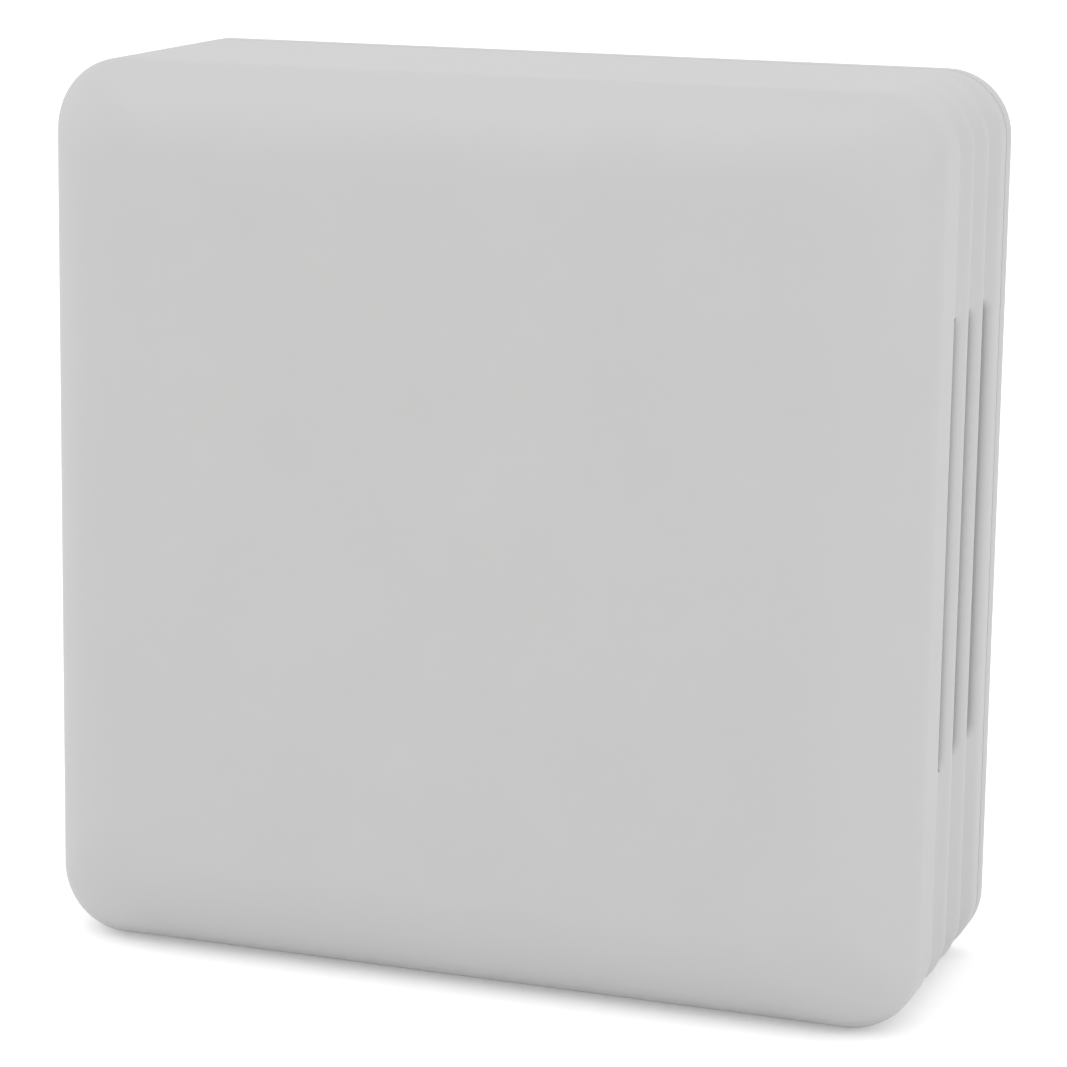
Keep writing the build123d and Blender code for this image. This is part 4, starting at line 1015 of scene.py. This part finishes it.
for name, cut in (("lock hole", lock_hole), ("catches", catches)):
    cutter = bpy.data.objects.new(name, bpy.data.meshes.new(name))
    cut.to_mesh(cutter.data)
    cut.free()
    bpy.context.scene.collection.objects.link(cutter)
    boolean = cover.modifiers.new(name, "BOOLEAN")
    boolean.operation = "DIFFERENCE"
    boolean.solver = "EXACT"
    boolean.object = cutter
    cutters.append(cutter)
settle(cover)
for cutter in cutters:
    bpy.data.objects.remove(cutter)
dress(cover, case_finish)
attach(cover, "cover")
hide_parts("cover")
cover_marks = [(x, z) for x in (-24.0, 0.0, 24.0) for z in (-24.0, 24.0)]
laid(
    "cover_marks", cover_marks, [], facing_wall(cover_ceiling),
    rings, ejector_ring, case_finish, "case_plastic", "cover",
)


# Studio. A pale floor that the case stands on, a soft white sky, a square lamp overhead and one on
# either side, and the camera a little to the right of the case and above it, with a long lens.
floor_reach, floor_level = 4.0, -43.05 * MM
floor_mesh = bpy.data.meshes.new("floor")
floor_corners = ((-1, -1), (1, -1), (1, 1), (-1, 1))
floor_mesh.from_pydata(
    [(x * floor_reach, y * floor_reach, floor_level) for x, y in floor_corners],
    [],
    [(0, 1, 2, 3)],
)
floor = bpy.data.objects.new("floor", floor_mesh)
bpy.context.scene.collection.objects.link(floor)


def seen_directly(tree):
    """1 where the camera, a mirror or clear glass looks straight at it, and 0 for other light."""
    path = tree.nodes.new("ShaderNodeLightPath")
    total = calc(tree, "ADD", path.outputs["Is Camera Ray"], path.outputs["Is Glossy Ray"])
    return calc(tree, "MINIMUM", calc(tree, "ADD", total, path.outputs["Is Transmission Ray"]), 1.0)


floor_paint = bpy.data.materials.new("Floor, pale board")
floor_paint.use_nodes = True
floor_tree = floor_paint.node_tree
floor_shader = floor_tree.nodes["Principled BSDF"]
floor_shader.inputs["Base Color"].default_value = (0.97, 0.97, 0.97, 1.0)
floor_shader.inputs["Roughness"].default_value = 0.9
floor_shader.inputs["Specular IOR Level"].default_value = 0.1
floor_shader.inputs["Emission Color"].default_value = (1.0, 1.0, 1.0, 1.0)
floor_glow = calc(floor_tree, "MULTIPLY", seen_directly(floor_tree), 0.3)
floor_tree.links.new(floor_glow, floor_shader.inputs["Emission Strength"])
floor_mesh.materials.append(floor_paint)

sky = bpy.data.worlds.new("Soft white sky")
bpy.context.scene.world = sky
sky.use_nodes = True
sky_tree = sky.node_tree
backdrop = sky_tree.nodes["Background"]
backdrop.inputs["Color"].default_value = (1.0, 1.0, 1.0, 1.0)
sky_light = 0.76
strength = calc(sky_tree, "MULTIPLY_ADD", seen_directly(sky_tree), 1.0 - sky_light, sky_light)
sky_tree.links.new(strength, backdrop.inputs["Strength"])

lamps = (
    ("overhead", (-0.1, -0.45, 1.2), 1.2, 4.7),
    ("left", (-1.4, -0.15, 0.15), 1.0, 2.1),
    ("right", (1.4, -0.3, 0.2), 1.0, 2.7),
)
case_middle = Vector((0.0, -17.0 * MM, 0.0))
for name, place, width, power in lamps:
    lamp = bpy.data.lights.new(name, "AREA")
    lamp.shape = "SQUARE"
    lamp.size = width
    lamp.energy = power
    held = bpy.data.objects.new(name, lamp)
    held.location = place
    held.rotation_euler = (case_middle - Vector(place)).to_track_quat("-Z", "Y").to_euler()
    bpy.context.scene.collection.objects.link(held)

azimuth, elevation, roll = math.radians(20.4146), math.radians(11.1736), math.radians(0.6088)
aim = Vector((0.0, -16.75 * MM, 0.0))
distance = 354.725 * MM
slide_right, slide_up = 5.389 * MM, -5.5685 * MM
back = Vector((
    math.sin(azimuth) * math.cos(elevation),
    -math.cos(azimuth) * math.cos(elevation),
    math.sin(elevation),
))
right = Vector((math.cos(azimuth), math.sin(azimuth), 0.0))
up = back.cross(right)
tilted_right = right * math.cos(roll) + up * math.sin(roll)
tilted_up = up * math.cos(roll) - right * math.sin(roll)
lens = bpy.data.cameras.new("camera")
lens.sensor_width = 36.0
lens.lens = 125.21
lens.shift_x = 0.0703
lens.shift_y = -0.0703
lens.clip_start = 0.01
camera = bpy.data.objects.new("camera", lens)
camera.matrix_world = Matrix((
    (tilted_right.x, tilted_up.x, back.x, 0.0),
    (tilted_right.y, tilted_up.y, back.y, 0.0),
    (tilted_right.z, tilted_up.z, back.z, 0.0),
    (0.0, 0.0, 0.0, 1.0),
))
camera.location = aim + back * distance - tilted_right * slide_right - tilted_up * slide_up
bpy.context.scene.collection.objects.link(camera)
bpy.context.scene.camera = camera
bpy.context.scene.view_settings.view_transform = "Standard"
